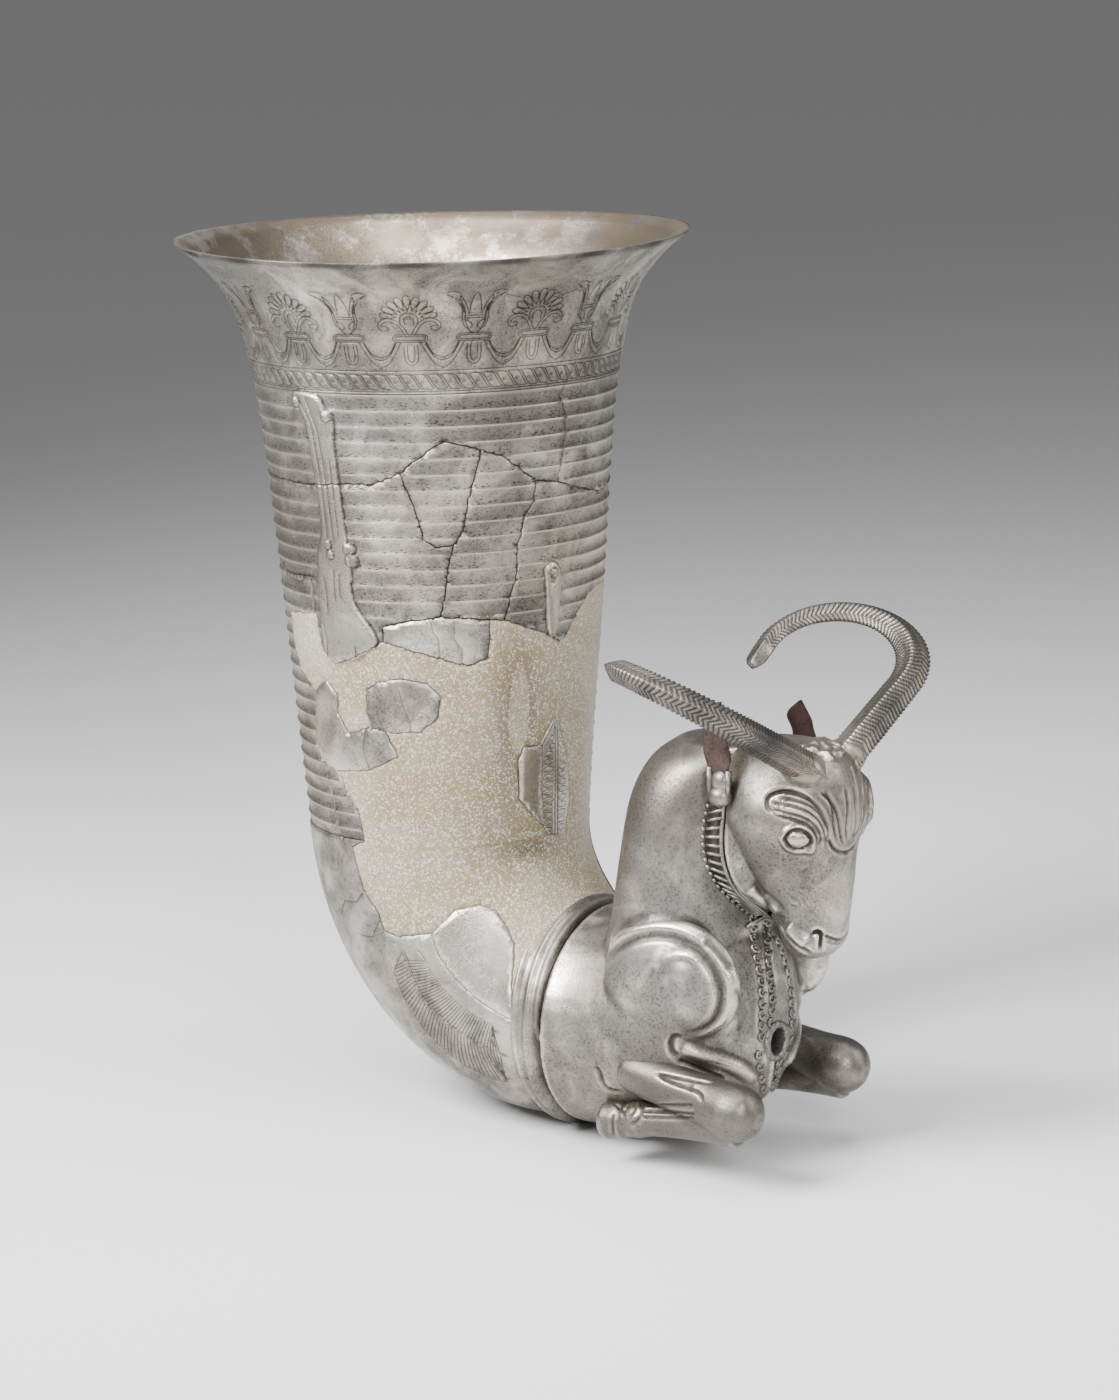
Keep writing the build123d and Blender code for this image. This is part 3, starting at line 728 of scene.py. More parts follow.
def makeWall():
    rows, ridges = wallRows()
    columns = np.arange(span[0], span[1] + 0.01, horn["columnStep"] * unroll)
    columns[-1] = span[1]
    friezeMiddles, friezeSides = strokeSamples(friezeLines(), 0.5, 0.27)
    dark = [name for name in lines if name in wallLook["darkCracks"]]
    darkCracks = joined(*(lines[name] for name in dark), rings["bright_wall_sherd"])
    softCracks = joined(*(lines[name] for name in lines if name not in dark), *rings.values())
    crackC = densify(flat(wallMarks["crackC"]), 0.8, 0.12, 77)
    marks = [densify(flat(curve), 0.7) for curve in wallMarks["lines"] + engravedLines()]
    reliefRings = {
        name: densify(rounded(flat(pairs), 2, closed=True), 0.9, closed=True) for name, pairs in reliefs.items()
    }
    markMiddles, markSides = strokeSamples(marks, 0.6, 0.25)
    _, crackSides = strokeSamples(list(lines.values()) + list(rings.values()), 1.3, wallLook["crackHalf"])
    branchMiddles, branchSides = strokeSamples([crackC], 0.8, 0.25)

    fixed, edges = fixedOutline(reliefRings)
    border = [(columns[0], row) for row in rows] + [(columns[-1], row) for row in rows]
    grid = np.array([(column, row) for row in rows for column in columns[1:-1]])
    sideSets = [offSeam(friezeMiddles, 0.4), offSeam(friezeSides, 0.4), markMiddles, branchMiddles, markSides]
    sideSets += [branchSides, crackSides] + reliefSamples(reliefRings)
    inner = [offSeam(points, 0.3) for points in sideSets]
    everything = thinned([np.array(fixed), np.array(border)] + inner + [grid], 0.2)
    # fixed points stay as they are, so edges keep their numbers
    taken = treeOf(fixed)
    loose = [tuple(point) for point in everything if taken.find((point[0], point[1], 0))[2] > 0.15]
    spots = [Vector(point) for point in fixed + loose]
    say(f"wall points {len(spots)}")
    out = geometry.delaunay_2d_cdt(spots, edges, [], 0, 1e-5)
    flatSpots = np.array([(v[0], v[1]) for v in out[0]])
    faces = np.array([face for face in out[2] if len(face) == 3])
    say(f"wall faces {len(faces)}")
    corners = flatSpots[faces]
    owner = pieceOf(corners.mean(axis=1))
    turnArea = np.cross(corners[:, 1] - corners[:, 0], corners[:, 2] - corners[:, 0])
    faces[turnArea > 0] = faces[turnArea > 0][:, ::-1]
    cuts = {
        "dark": darkCracks, "soft": softCracks, "branch": branchMiddles, "frieze": friezeMiddles,
        "marks": markMiddles,
    }
    samples = {
        "ridges": ridges,
        "relief": reliefRings,
        "grooves": [(points, *wallLook["cuts"][kind]) for kind, points in cuts.items()],
    }
    return flatSpots, faces, owner, wallHeights(flatSpots, samples)


wallMarks = {
    "crackC": [
        (9.4, -0.6), (14.3, -3.4), (20.2, -2.1), (26.2, -1.8), (32, -3.1), (37.9, -6.7), (44.4, -9.8),
        (49.3, -6.7), (53.6, -6.2), (63.2, -7.3), (68.5, -8.9),
    ],
    "lines": [
        [(43, -97.5), (50, -93.6), (62, -92.4), (75, -91.8), (84, -91.6)],
        [(43, -94.5), (52, -91.2), (64, -90.0), (78, -89.4), (83, -89.2)],
        [(60, -87.6), (72, -87.2), (82, -86.9)],
        [(94, -95.4), (99, -94.6), (104, -94.8)],
        [(92, -90.4), (97, -90.8), (101, -90.6)],
        [(93, -88.3), (97, -88.6), (100, -88.4)],
        [(107, -98), (112, -96.6), (117, -97.2)],
        [(114, -84), (116.5, -84.2), (118.5, -83.4)],
        [
            (95.2, -9.6), (94.6, -11.0), (95.6, -12.0), (97.2, -11.6), (97.6, -10.2), (96.6, -9.4), (95.8, -10.2),
            (96.4, -10.8),
        ],
        [(10.9, -34.4), (13.1, -27.7), (14.3, -20.4), (12.6, -12.7), (10.0, -6.9)],
        [(96.1, -118.8), (97.2, -112), (94.7, -103.2)],
        [(105.4, -55.9), (109, -54.9), (111, -53.2), (115.6, -52.9)],
        [(106.2, -47.4), (111, -47.9), (114.6, -45.0), (117.3, -45.3)],
        [(125.8, -68.3), (131.1, -66.8), (135.2, -64.9), (137.8, -64.7)],
        [(135.2, -64.9), (132.2, -61.0), (134.0, -57.4)],
        [(138.3, -83.2), (143.5, -84.5), (150.1, -82.5)],
        [(186.8, -93.6), (189, -100), (188, -108), (191, -116)],
        [(196, -92), (199, -99), (197, -106)],
        [(154.2, -106.3), (160, -104), (166, -103.5), (172.9, -100.2)],
        [(138.3, -7), (145, -12.8), (158.3, -13.1), (169.1, -10.5)],
    ],
}


# A few slivers along a crack fall to the wrong sherd: each goes to the piece round it
def ownIslands(faces, owner, least):
    beside = {}
    for index, (a, b, c) in enumerate(faces.tolist()):
        for pair in ((a, b), (b, c), (c, a)):
            beside.setdefault((min(pair), max(pair)), []).append(index)
    near = [[] for _ in range(len(faces))]
    for pair in beside.values():
        if len(pair) == 2:
            near[pair[0]].append(pair[1])
            near[pair[1]].append(pair[0])
    seen = np.zeros(len(faces), dtype=bool)
    for start in range(len(faces)):
        if seen[start]:
            continue
        seen[start] = True
        group, queue = [start], [start]
        while queue:
            for other in near[queue.pop()]:
                if not seen[other] and owner[other] == owner[start]:
                    seen[other] = True
                    group.append(other)
                    queue.append(other)
        others = [owner[other] for index in group for other in near[index] if owner[other] != owner[start]]
        if len(group) < least and others:
            owner[group] = max(sorted(set(others)), key=others.count)


# Tones of the wall. A patch is a weight, its depth, angle, height and width.
wallTones = {
    "veil": [(0.75, 112, -112, 14, 20), (0.5, 150, 22, 60, 12), (0.45, 238, -30, 14, 22), (0.4, 165, -92, 30, 10)],
    # brown: a brown stain on the fill, and painted shade over its hollows
    "brown": [(1.0, 134, -21, 17, 7), (0.7, 188, -16, 14, 12), (0.35, 160, -32, 30, 9)],
    "hollow": [(1.7, 134, -23, 15, 5.5), (-0.7, 128, -35, 14, 7), (0.8, 186, -20, 10, 8), (-0.5, 226, -30, 10, 12)],
    "dentRise": 0.10,
    "dentWaves": (3, 5, 7, 11),
    "dentReaches": (31, 23, 17, 12),
    "flutesFrom": (40.5, 42),
    "flutesTo": (170, 173),
    "shadeAt": -80,
    # darkness, and where it starts and ends below the mouth
    "lipDirt": (0.95, 1.0, 2.6),
    # a band of painted shade under the lip, mottled like tarnish
    "bandTarnishAndShade": (0.42, 5.5, 3.4),
    # darker round the bend
    "bendDarkening": (0.28, 168, 188),
}


def patches(kind, depth, angle):
    return sum(
        weight * np.exp(-(((depth - down) / tall) ** 2) - (((angle - turn) / wide) ** 2))
        for weight, down, turn, tall, wide in wallTones[kind]
    )


def fluteShare(depth):
    return ((depth - horn["friezeEnd"] - wallLook["firstFlute"]) / flutePitch) % 1.0


def stippling(depth, angle):
    inFlutes = smoothStep(depth, *wallTones["flutesFrom"]) * (1 - smoothStep(depth, *wallTones["flutesTo"]))
    shade = inFlutes * (0.45 + 0.55 * (0.5 + 0.5 * np.cos(np.radians(angle - wallTones["shadeAt"]))))
    return shade * np.interp(fluteShare(depth), *wallLook["stipples"])


def dents(depth, angle):
    rng = np.random.default_rng(5)
    return sum(
        wallTones["dentRise"] * np.sin(k * angle * math.pi / 180 + phase) * np.cos(depth / reach + phase * 2)
        for k, phase, reach in zip(wallTones["dentWaves"], rng.uniform(0, 6, 4), wallTones["dentReaches"])
    )


# Darker lip, painted shade with tarnish under the lip, and a darker bend, by depth below the mouth
def darkeningByDepth(name, depth, angle):
    dark, start, stop = wallTones["lipDirt"]
    rim = dark * (1 - smoothStep(depth, start, stop)) * (0.75 + 0.25 * np.sin(angle * 0.31))
    # painted shade under the lip, partly tarnish
    dark, middle, reach = wallTones["bandTarnishAndShade"]
    uneven = 0.55 + 0.45 * np.sin(angle * 0.11 + 2.2 * np.sin(angle * 0.05))
    rim += dark * np.exp(-(((depth - middle) / reach) ** 2)) * uneven
    # darker towards the bend
    dark, start, stop = wallTones["bendDarkening"]
    return rim + dark * smoothStep(depth, start, stop) * (name == "bend_wall")


# The two edges of the unrolled wall share their points, so that the mesh closes
def weldSeam(flatSpots):
    down = [round(float(value), 3) for value in flatSpots[:, 1]]
    first = {down[index]: index for index in np.nonzero(flatSpots[:, 0] < span[0] + 1e-4)[0]}
    weld = np.arange(len(flatSpots))
    for index in np.nonzero(flatSpots[:, 0] > span[1] - 1e-4)[0]:
        weld[index] = first.get(down[index], index)
    return weld


def doubled(triangles, count):
    pairs = dict.fromkeys(pair for a, b, c in triangles.tolist() for pair in ((a, b), (b, c), (c, a)))
    sides = [(a, a + count, b + count, b) for a, b in pairs if (b, a) not in pairs]
    return [tuple(face) for face in triangles] + [tuple(face[::-1] + count) for face in triangles] + sides


def makeWallPieces():
    flatSpots, looseFaces, owner, (height, groove, ridge, marked) = makeWall()
    faces = weldSeam(flatSpots)[looseFaces]
    ownIslands(faces, owner, wallLook["island"])
    depth, angle = flatSpots[:, 1], flatSpots[:, 0] / unroll
    level = {"fill_panel": -wallLook["fillSink"], **{name: wallLook["sherdRise"] for name in rings}}
    fallen, shade, uneven = lipFall(flatSpots), stippling(depth, angle), dents(depth, angle)
    veil, brown, hollow = (patches(kind, depth, angle) for kind in ("veil", "brown", "hollow"))
    roundOff, roundReach = wallLook["lipRound"]
    pieces = {}
    for name in sorted(set(owner)):
        own, flatFaces = faces[owner == name], looseFaces[owner == name]
        used, packed = np.unique(own, return_inverse=True)
        packed = packed.reshape(own.shape)
        down, count = depth[used], len(used)
        smooth = name == "fill_panel" or name in rings or name == "bend_wall"
        rise = height[used].copy()
        if smooth:
            fluted = (down < horn["straight"] + wallLook["firstFlute"]) & (down > horn["friezeEnd"])
            flutes = np.interp(fluteShare(down), wallLook["fluteShares"], wallLook["fluteHeights"])
            rise -= np.where(fluted, flutes, 0)
        rise = rise + level.get(name, 0) + uneven[used]
        if name == "fill_panel":
            rise = rise - hollow[used]
        if name in rings:
            toEdge = nearest(flatSpots[used], rings[name])
            rise += wallLook["pillow"][name] * smoothStep(toEdge, 0.0, wallLook["pillowEdge"])
        # lip darkening, painted shade under the lip and the darker bend
        rim = darkeningByDepth(name, down, angle[used])
        radius = hornRadius(down)
        wall = horn["wall"] + (1 - smoothStep(down, 2.0, 4.2)) * wallLook["lipWall"]
        skin = rise - roundOff * np.clip(1 - down / roundReach, 0, 1) ** 2
        outer = hornPoint(down, angle[used], radius + skin)
        inner = hornPoint(down, angle[used], radius - wall)
        outer[:, 2] -= fallen[used]
        inner[:, 2] -= fallen[used]
        none = np.zeros(count)
        lined = (marked if smooth else groove)[used] * (wallLook["fillLines"] if name == "fill_panel" else 1)
        layers = {
            # outside the lines plus this darkening; the inner face takes half of it
            "groove": (np.clip(lined + rim, 0, 1), np.clip(0.5 * rim, 0, 1)),
            "ridge": (ridge[used] * (0 if smooth else 1), none),
            "inside": (none, np.ones(count)),
            "shade": (shade[used] * (0 if smooth else 1), none),
            "veil": (veil[used], none),
            "brown": (brown[used], none),
        }
        layers = {key: np.concatenate(pair) for key, pair in layers.items()}
        piece = pieceMesh(name + "_look", np.vstack([outer, inner]) * mm, doubled(packed, count), layers)
        corners = np.concatenate([flatFaces.ravel(), flatFaces[:, ::-1].ravel()])
        places = np.vstack([flatSpots[corners], np.zeros((len(piece.data.loops) - len(corners), 2))])
        piece.data.uv_layers.new(name="flat").data.foreach_set("uv", places.ravel())
        pieces[name] = piece
    return pieces


# Finishes. Colours are linear, and texture scales are in cycles for a metre.
tones = {
    "silver": (0.62, 0.585, 0.535),
    "silverWarm": (0.50, 0.432, 0.355),
    # darker silver for the legs than for the body
    "legSilver": (0.37, 0.345, 0.315),
    "legWarm": (0.29, 0.25, 0.20),
    "tarnish": (0.082, 0.079, 0.076),
    # near black laid into grooves and pits: real grime, and painted shade where the groove layer carries it
    "grimeAndShade": (0.020, 0.017, 0.014),
    "stain": (0.17, 0.095, 0.045),
    "insideBrown": (0.16, 0.125, 0.085),
    "hornSilver": (0.22, 0.198, 0.168),
    "hornTarnish": (0.040, 0.046, 0.055),
    "corroded": (0.034, 0.019, 0.018),
    "corrodedLight": (0.15, 0.105, 0.095),
    "fill": (0.205, 0.160, 0.088),
    "fillPale": (0.30, 0.285, 0.24),
    # brown stain and painted shade in the fill's hollows
    "fillBrownAndShade": (0.085, 0.062, 0.038),
    "speckWhite": (0.47, 0.46, 0.415),
    "speckDark": (0.07, 0.058, 0.045),
    "speckGold": (0.33, 0.23, 0.07),
    # near black for a disc of painted shade deep in the spout's bore
    "bore": (0.012, 0.011, 0.010),
    "floor": (0.66, 0.66, 0.66),
}


def rgba(name):
    return (*tones[name], 1.0)


def nodeOf(tree, kind, **values):
    node = tree.nodes.new(kind)
    for key, value in values.items():
        if hasattr(node, key):
            setattr(node, key, value)
        else:
            node.inputs[key.replace("_", " ")].default_value = value
    return node


def noise(tree, place, scale, detail=3.0, roughness=0.55, distortion=0.0):
    node = nodeOf(tree, "ShaderNodeTexNoise", Scale=scale, Detail=detail, Roughness=roughness, Distortion=distortion)
    tree.links.new(place, node.inputs["Vector"])
    return node.outputs["Fac"]


def ranged(tree, value, low, high, toLow=0.0, toHigh=1.0):
    node = nodeOf(tree, "ShaderNodeMapRange", interpolation_type="SMOOTHSTEP")
    tree.links.new(value, node.inputs["Value"])
    for key, number in (("From Min", low), ("From Max", high), ("To Min", toLow), ("To Max", toHigh)):
        node.inputs[key].default_value = number
    return node.outputs["Result"]


def sums(tree, kind, first, second, clamp=False):
    node = nodeOf(tree, "ShaderNodeMath", operation=kind, use_clamp=clamp)
    for socket, value in zip(node.inputs, (first, second)):
        if isinstance(value, (int, float)):
            socket.default_value = value
        else:
            tree.links.new(value, socket)
    return node.outputs["Value"]


def times(tree, first, second, clamp=False):
    return sums(tree, "MULTIPLY", first, second, clamp)


def plus(tree, first, second, clamp=False):
    return sums(tree, "ADD", first, second, clamp)


def minus(tree, first, second):
    return sums(tree, "SUBTRACT", first, second)


def layer(tree, name):
    return nodeOf(tree, "ShaderNodeAttribute", attribute_name=name).outputs["Fac"]


def cells(tree, place, scale):
    node = nodeOf(tree, "ShaderNodeTexVoronoi", Scale=scale)
    tree.links.new(place, node.inputs["Vector"])
    split = nodeOf(tree, "ShaderNodeSeparateColor")
    tree.links.new(node.outputs["Color"], split.inputs["Color"])
    return node, split.outputs


def newMaterial(name):
    material = bpy.data.materials.new(name)
    material.use_nodes = True
    return material, material.node_tree, material.node_tree.nodes["Principled BSDF"]


def addBump(tree, shader, height, strength, distance):
    relief = nodeOf(tree, "ShaderNodeBump", Strength=strength, Distance=distance)
    tree.links.new(height, relief.inputs["Height"])
    tree.links.new(relief.outputs["Normal"], shader.inputs["Normal"])


def mixed(tree, share, first, second):
    node = nodeOf(tree, "ShaderNodeMix", data_type="RGBA", blend_type="MIX")
    sockets = {s.name: s for s in node.inputs if s.enabled}
    for key, value in (("Factor", share), ("A", first), ("B", second)):
        if isinstance(value, (int, float, tuple)):
            sockets[key].default_value = value
        else:
            tree.links.new(value, sockets[key])
    return next(s for s in node.outputs if s.enabled)


def newGroup(name, inputs, outputs):
    tree = bpy.data.node_groups.new(name, "ShaderNodeTree")
    for label, kind in inputs:
        tree.interface.new_socket(label, in_out="INPUT", socket_type=kind)
    for label, kind in outputs:
        tree.interface.new_socket(label, in_out="OUTPUT", socket_type=kind)
    return tree, tree.nodes.new("NodeGroupInput"), tree.nodes.new("NodeGroupOutput")


# Noise fields of the old silver: scale, detail, roughness and distortion
ageFields = {
    "wide": (16, 4, 0.6, 0.4),
    "middle": (75, 5, 0.65, 0.6),
    "fine": (1250, 4, 0.72),
    "grain": (2200, 2, 0.6),
    "pocks": (1800, 3, 0.78),
    "pocked": (60, 3),
    "warmth": (22, 3),
    "stains": (38, 5, 0.7),
}
# Where each field begins to count and where it counts in full
ageLimits = {
    "dull": (-0.09, 0.13),
    "specks": (0.50, 0.66),
    "pocks": (0.51, 0.61),
    "pocked": (0.40, 0.62),
    "warmth": (0.38, 0.64),
    "stains": (0.60, 0.74),
}
ageShares = {
    "wide": 0.55,
    "middle": 0.45,
    "start": 0.66,
    "amount": 0.3,
    "dull": 0.8,
    "specks": 0.24,
    "worn": 0.8,
    "grooveDirtAndShade": 0.88,
    "pitDirt": 0.8,
    "rough": 0.215,
    "roughDull": 0.22,
    "roughGroove": 0.3,
    "roughFine": 0.12,
    "bumpFine": 0.5,
    "bumpGrain": 0.22,
    "bumpMiddle": 0.6,
    "bumpPits": 0.9,
}


def makeAgeing():
    inputs = [("Place", "NodeSocketVector")]
    inputs += [(name, "NodeSocketColor") for name in ("Clean", "Warm", "Tarnish", "Stain", "GrimeAndShade")]
    inputs += [(name, "NodeSocketFloat") for name in ("Amount", "Groove", "Ridge", "Stains", "Pits")]
    outputs = [("Color", "NodeSocketColor"), ("Roughness", "NodeSocketFloat"), ("Height", "NodeSocketFloat")]
    tree, start, end = newGroup("silverAgeing", inputs, outputs)
    given = start.outputs

    def field(name):
        return noise(tree, given["Place"], *ageFields[name])

    def limited(name, value=None):
        return ranged(tree, field(name) if value is None else value, *ageLimits[name])

    def share(value, name):
        return times(tree, value, ageShares[name])

    wide, middle, fine, grain = (field(name) for name in ("wide", "middle", "fine", "grain"))
    clouds = plus(tree, share(wide, "wide"), share(middle, "middle"))
    limit = minus(tree, ageShares["start"], share(given["Amount"], "amount"))
    dull = limited("dull", minus(tree, clouds, limit))
    speck = limited("specks", fine)
    dull = plus(tree, share(dull, "dull"), share(speck, "specks"), clamp=True)
    pocks = limited("pocks")
    pocks = times(tree, pocks, limited("pocked"))
    pits = times(tree, pocks, given["Pits"], clamp=True)
    # the ridge layer clears tarnish: worn edges, and painted highlight along the flute ridges
    dull = times(tree, dull, minus(tree, 1.0, share(given["Ridge"], "worn")))
    body = mixed(tree, limited("warmth"), given["Clean"], given["Warm"])
    body = mixed(tree, dull, body, given["Tarnish"])
    stained = times(tree, limited("stains"), given["Stains"])
    body = mixed(tree, stained, body, given["Stain"])
    # grooves and pits take the near black: tarnish and dirt, and painted shade where the groove layer carries it
    darkening = sums(tree, "MAXIMUM", share(given["Groove"], "grooveDirtAndShade"), share(pits, "pitDirt"))
    tree.links.new(mixed(tree, darkening, body, given["GrimeAndShade"]), end.inputs["Color"])
    rough = plus(tree, ageShares["rough"], share(dull, "roughDull"))
    rough = plus(tree, rough, share(given["Groove"], "roughGroove"))
    tree.links.new(plus(tree, rough, share(fine, "roughFine")), end.inputs["Roughness"])
    bump = plus(tree, share(fine, "bumpFine"), share(grain, "bumpGrain"))
    bump = plus(tree, bump, share(middle, "bumpMiddle"))
    tree.links.new(minus(tree, bump, share(pits, "bumpPits")), end.inputs["Height"])
    return tree


# Chased dashes between the ridges, on the wall laid out flat
dashLook = {
    "turn": -32,
    "scale": (0.62, 1.75, 1),
    "reach": (0.12, 0.42),
    "clouds": (0.16, 3),
    "cloudy": (0.30, 0.56),
}


def makeStipple():
    tree, start, end = newGroup(
        "chasedStipple", [("Flat", "NodeSocketVector"), ("Amount", "NodeSocketFloat")],
        [("Dark", "NodeSocketFloat"), ("Height", "NodeSocketFloat")],
    )
    turn = nodeOf(tree, "ShaderNodeMapping", vector_type="POINT")
    turn.inputs["Rotation"].default_value = (0, 0, math.radians(dashLook["turn"]))
    turn.inputs["Scale"].default_value = dashLook["scale"]
    tree.links.new(start.outputs["Flat"], turn.inputs["Vector"])
    dash = nodeOf(tree, "ShaderNodeTexVoronoi", Scale=1.0, Randomness=1.0)
    tree.links.new(turn.outputs["Vector"], dash.inputs["Vector"])
    close = ranged(tree, dash.outputs["Distance"], *dashLook["reach"], 1.0, 0.0)
    cloud = ranged(tree, noise(tree, start.outputs["Flat"], *dashLook["clouds"]), *dashLook["cloudy"])
    dark = times(tree, times(tree, close, cloud), start.outputs["Amount"])
    tree.links.new(dark, end.inputs["Dark"])
    tree.links.new(times(tree, close, start.outputs["Amount"]), end.inputs["Height"])
    return tree


ageing, stipple = makeAgeing(), makeStipple()


silverLook = {
    "metallic": 0.93,
    "dashDirt": 0.9,
    "dashDepth": 0.9,
    "blotches": (55, 5, 0.75),
    "blotchLimits": (0.42, 0.52),
    "blotchShare": 0.8,
    "bumpDepth": 0.0006,  # metres
}


def silverMaterial(name, clean="silver", warm="silverWarm", tarnish="tarnish", amount=0.5, stains=0.35,
                   bump=0.16, dashes=0.0, rough=0.0, pits=0.8):
    material, tree, shader = newMaterial(name)
    shader.inputs["Metallic"].default_value = silverLook["metallic"]
    place = tree.nodes.new("ShaderNodeTexCoord").outputs["Object"]
    age = nodeOf(tree, "ShaderNodeGroup", node_tree=ageing)
    tree.links.new(place, age.inputs["Place"])
    coats = {"Clean": clean, "Warm": warm, "Tarnish": tarnish, "Stain": "stain", "GrimeAndShade": "grimeAndShade"}
    for socket, tone in coats.items():
        age.inputs[socket].default_value = rgba(tone)
    age.inputs["Amount"].default_value = amount
    age.inputs["Stains"].default_value = stains
    age.inputs["Pits"].default_value = pits
    groove = layer(tree, "groove")
    ridge = layer(tree, "ridge")
    height = age.outputs["Height"]
    if dashes:
        marks = nodeOf(tree, "ShaderNodeGroup", node_tree=stipple)
        marks.inputs["Amount"].default_value = dashes
        tree.links.new(nodeOf(tree, "ShaderNodeUVMap", uv_map="flat").outputs["UV"], marks.inputs["Flat"])
        shade = layer(tree, "shade")
        dark = times(tree, marks.outputs["Dark"], shade)
        groove = plus(tree, groove, times(tree, dark, silverLook["dashDirt"]), clamp=True)
        struck = times(tree, times(tree, marks.outputs["Height"], shade), silverLook["dashDepth"])
        height = minus(tree, height, struck)
    tree.links.new(groove, age.inputs["Groove"])
    tree.links.new(ridge, age.inputs["Ridge"])
    colour = age.outputs["Color"]
    if dashes:
        inside = layer(tree, "inside")
        blotch = ranged(tree, noise(tree, place, *silverLook["blotches"]), *silverLook["blotchLimits"])
        brown = times(tree, times(tree, inside, blotch), silverLook["blotchShare"])
        colour = mixed(tree, brown, colour, rgba("insideBrown"))
    tree.links.new(colour, shader.inputs["Base Color"])
    tree.links.new(plus(tree, age.outputs["Roughness"], rough), shader.inputs["Roughness"])
    addBump(tree, shader, height, bump, silverLook["bumpDepth"])
    return material


# Speckled fill: grains, chips and clouds in cycles for a metre
fillLook = {
    "grains": 2300.0,
    "channels": {"White": ("Red", 0.72, 0.9), "Gold": ("Green", 0.80, 0.92), "Dark": ("Blue", 0.80, 0.95)},
    "shares": {"Gold": 0.5, "Dark": 0.45, "White": 0.72},
    "chips": 780.0,
    "chipsChosen": (0.86, 0.90),
    "chipsReach": (0.22, 0.36),
    "chipsShare": 0.75,
    "lumps": (900, 3),
    "rough": 0.46,
    "specular": 0.45,
    "clouds": (45, 4),
    "cloudLimits": (0.38, 0.66),
    "cloudShare": 0.4,
    "bump": (0.12, 0.0005),  # strength, and depth in metres
}


def fillMaterial():
    tree, start, end = newGroup(
        "fillSpeckle", [("Place", "NodeSocketVector"), ("Veil", "NodeSocketFloat"), ("Brown", "NodeSocketFloat")],
        [("Color", "NodeSocketColor"), ("Height", "NodeSocketFloat")],
    )
    place = start.outputs["Place"]
    body = mixed(tree, start.outputs["Veil"], rgba("fill"), rgba("fillPale"))
    # brown stain and painted shade over the hollows
    body = mixed(tree, start.outputs["Brown"], body, rgba("fillBrownAndShade"))
    _, grains = cells(tree, place, fillLook["grains"])
    specks = {
        tone: ranged(tree, grains[channel], low, high) for tone, (channel, low, high) in fillLook["channels"].items()
    }
    for tone, share in fillLook["shares"].items():
        body = mixed(tree, times(tree, specks[tone], share), body, rgba("speck" + tone))
    big, chosen = cells(tree, place, fillLook["chips"])
    few = ranged(tree, chosen["Red"], *fillLook["chipsChosen"])
    chips = times(tree, few, ranged(tree, big.outputs["Distance"], *fillLook["chipsReach"], 1.0, 0.0))
    body = mixed(tree, times(tree, chips, fillLook["chipsShare"]), body, rgba("speckWhite"))
    tree.links.new(body, end.inputs["Color"])
    tree.links.new(noise(tree, place, *fillLook["lumps"]), end.inputs["Height"])
    material, outer, shader = newMaterial("resinFill")
    shader.inputs["Roughness"].default_value = fillLook["rough"]
    shader.inputs["Specular IOR Level"].default_value = fillLook["specular"]
    point = outer.nodes.new("ShaderNodeTexCoord").outputs["Object"]
    speckle = nodeOf(outer, "ShaderNodeGroup", node_tree=tree)
    outer.links.new(point, speckle.inputs["Place"])
    veil = layer(outer, "veil")
    cloudy = ranged(outer, noise(outer, point, *fillLook["clouds"]), *fillLook["cloudLimits"])
    cloudy = times(outer, cloudy, fillLook["cloudShare"])
    outer.links.new(plus(outer, veil, cloudy, clamp=True), speckle.inputs["Veil"])
    brown = layer(outer, "brown")
    outer.links.new(brown, speckle.inputs["Brown"])
    outer.links.new(speckle.outputs["Color"], shader.inputs["Base Color"])
    addBump(outer, shader, speckle.outputs["Height"], *fillLook["bump"])
    return material


def plainMaterial(name, tone, rough=0.6, metallic=0.0):
    material, _, shader = newMaterial(name)
    shader.inputs["Base Color"].default_value = rgba(tone)
    shader.inputs["Roughness"].default_value = rough
    shader.inputs["Metallic"].default_value = metallic
    return material


finishes = {
    "fluted": silverMaterial("flutedSilver", amount=0.7, stains=0.5, dashes=1.0, bump=0.25),
    # the legs are darker than the body
    "leg": silverMaterial("legSilver", "legSilver", "legWarm", amount=0.95, stains=0.55, bump=0.2, rough=-0.04),
    "satin": silverMaterial("satinSilver", amount=0.86, stains=0.5, bump=0.2, rough=-0.04),
    "sherd": silverMaterial("sherdSilver", amount=0.5, stains=0.35, bump=0.2),
    "animalHorn": silverMaterial("hornSilver", "hornSilver", "silverWarm", "hornTarnish", 0.62, 0.5, bump=0.14),
    "ear": silverMaterial("earSilver", "corrodedLight", "corroded", "corroded", 0.7, 0.8, bump=0.5, rough=0.25),
    "fill": fillMaterial(),
    # painted shade for the disc deep in the spout
    "bore": plainMaterial("paintedBoreShade", "bore", 0.8),
    "floor": plainMaterial("floorPale", "floor", 0.75),
}
say("finishes made")


stage = {
    "floorSize": 40000.0,
    "floorGap": 0.5,
    "cameraGrey": 0.15,
    "roomGrey": 0.225,
    "lights": {
        # direction from the target (azimuth, elevation), distance, width, height, watts, spread in degrees
        "key": (-20, 40, 900, 420, 520, 8.6, 90),
        "side": (118, 24, 900, 300, 800, 5.0, 180),
        "top": (40, 84, 850, 600, 600, 2.6, 90),
        "front": (52, 24, 1250, 320, 600, 13.0, 180),
    },
}


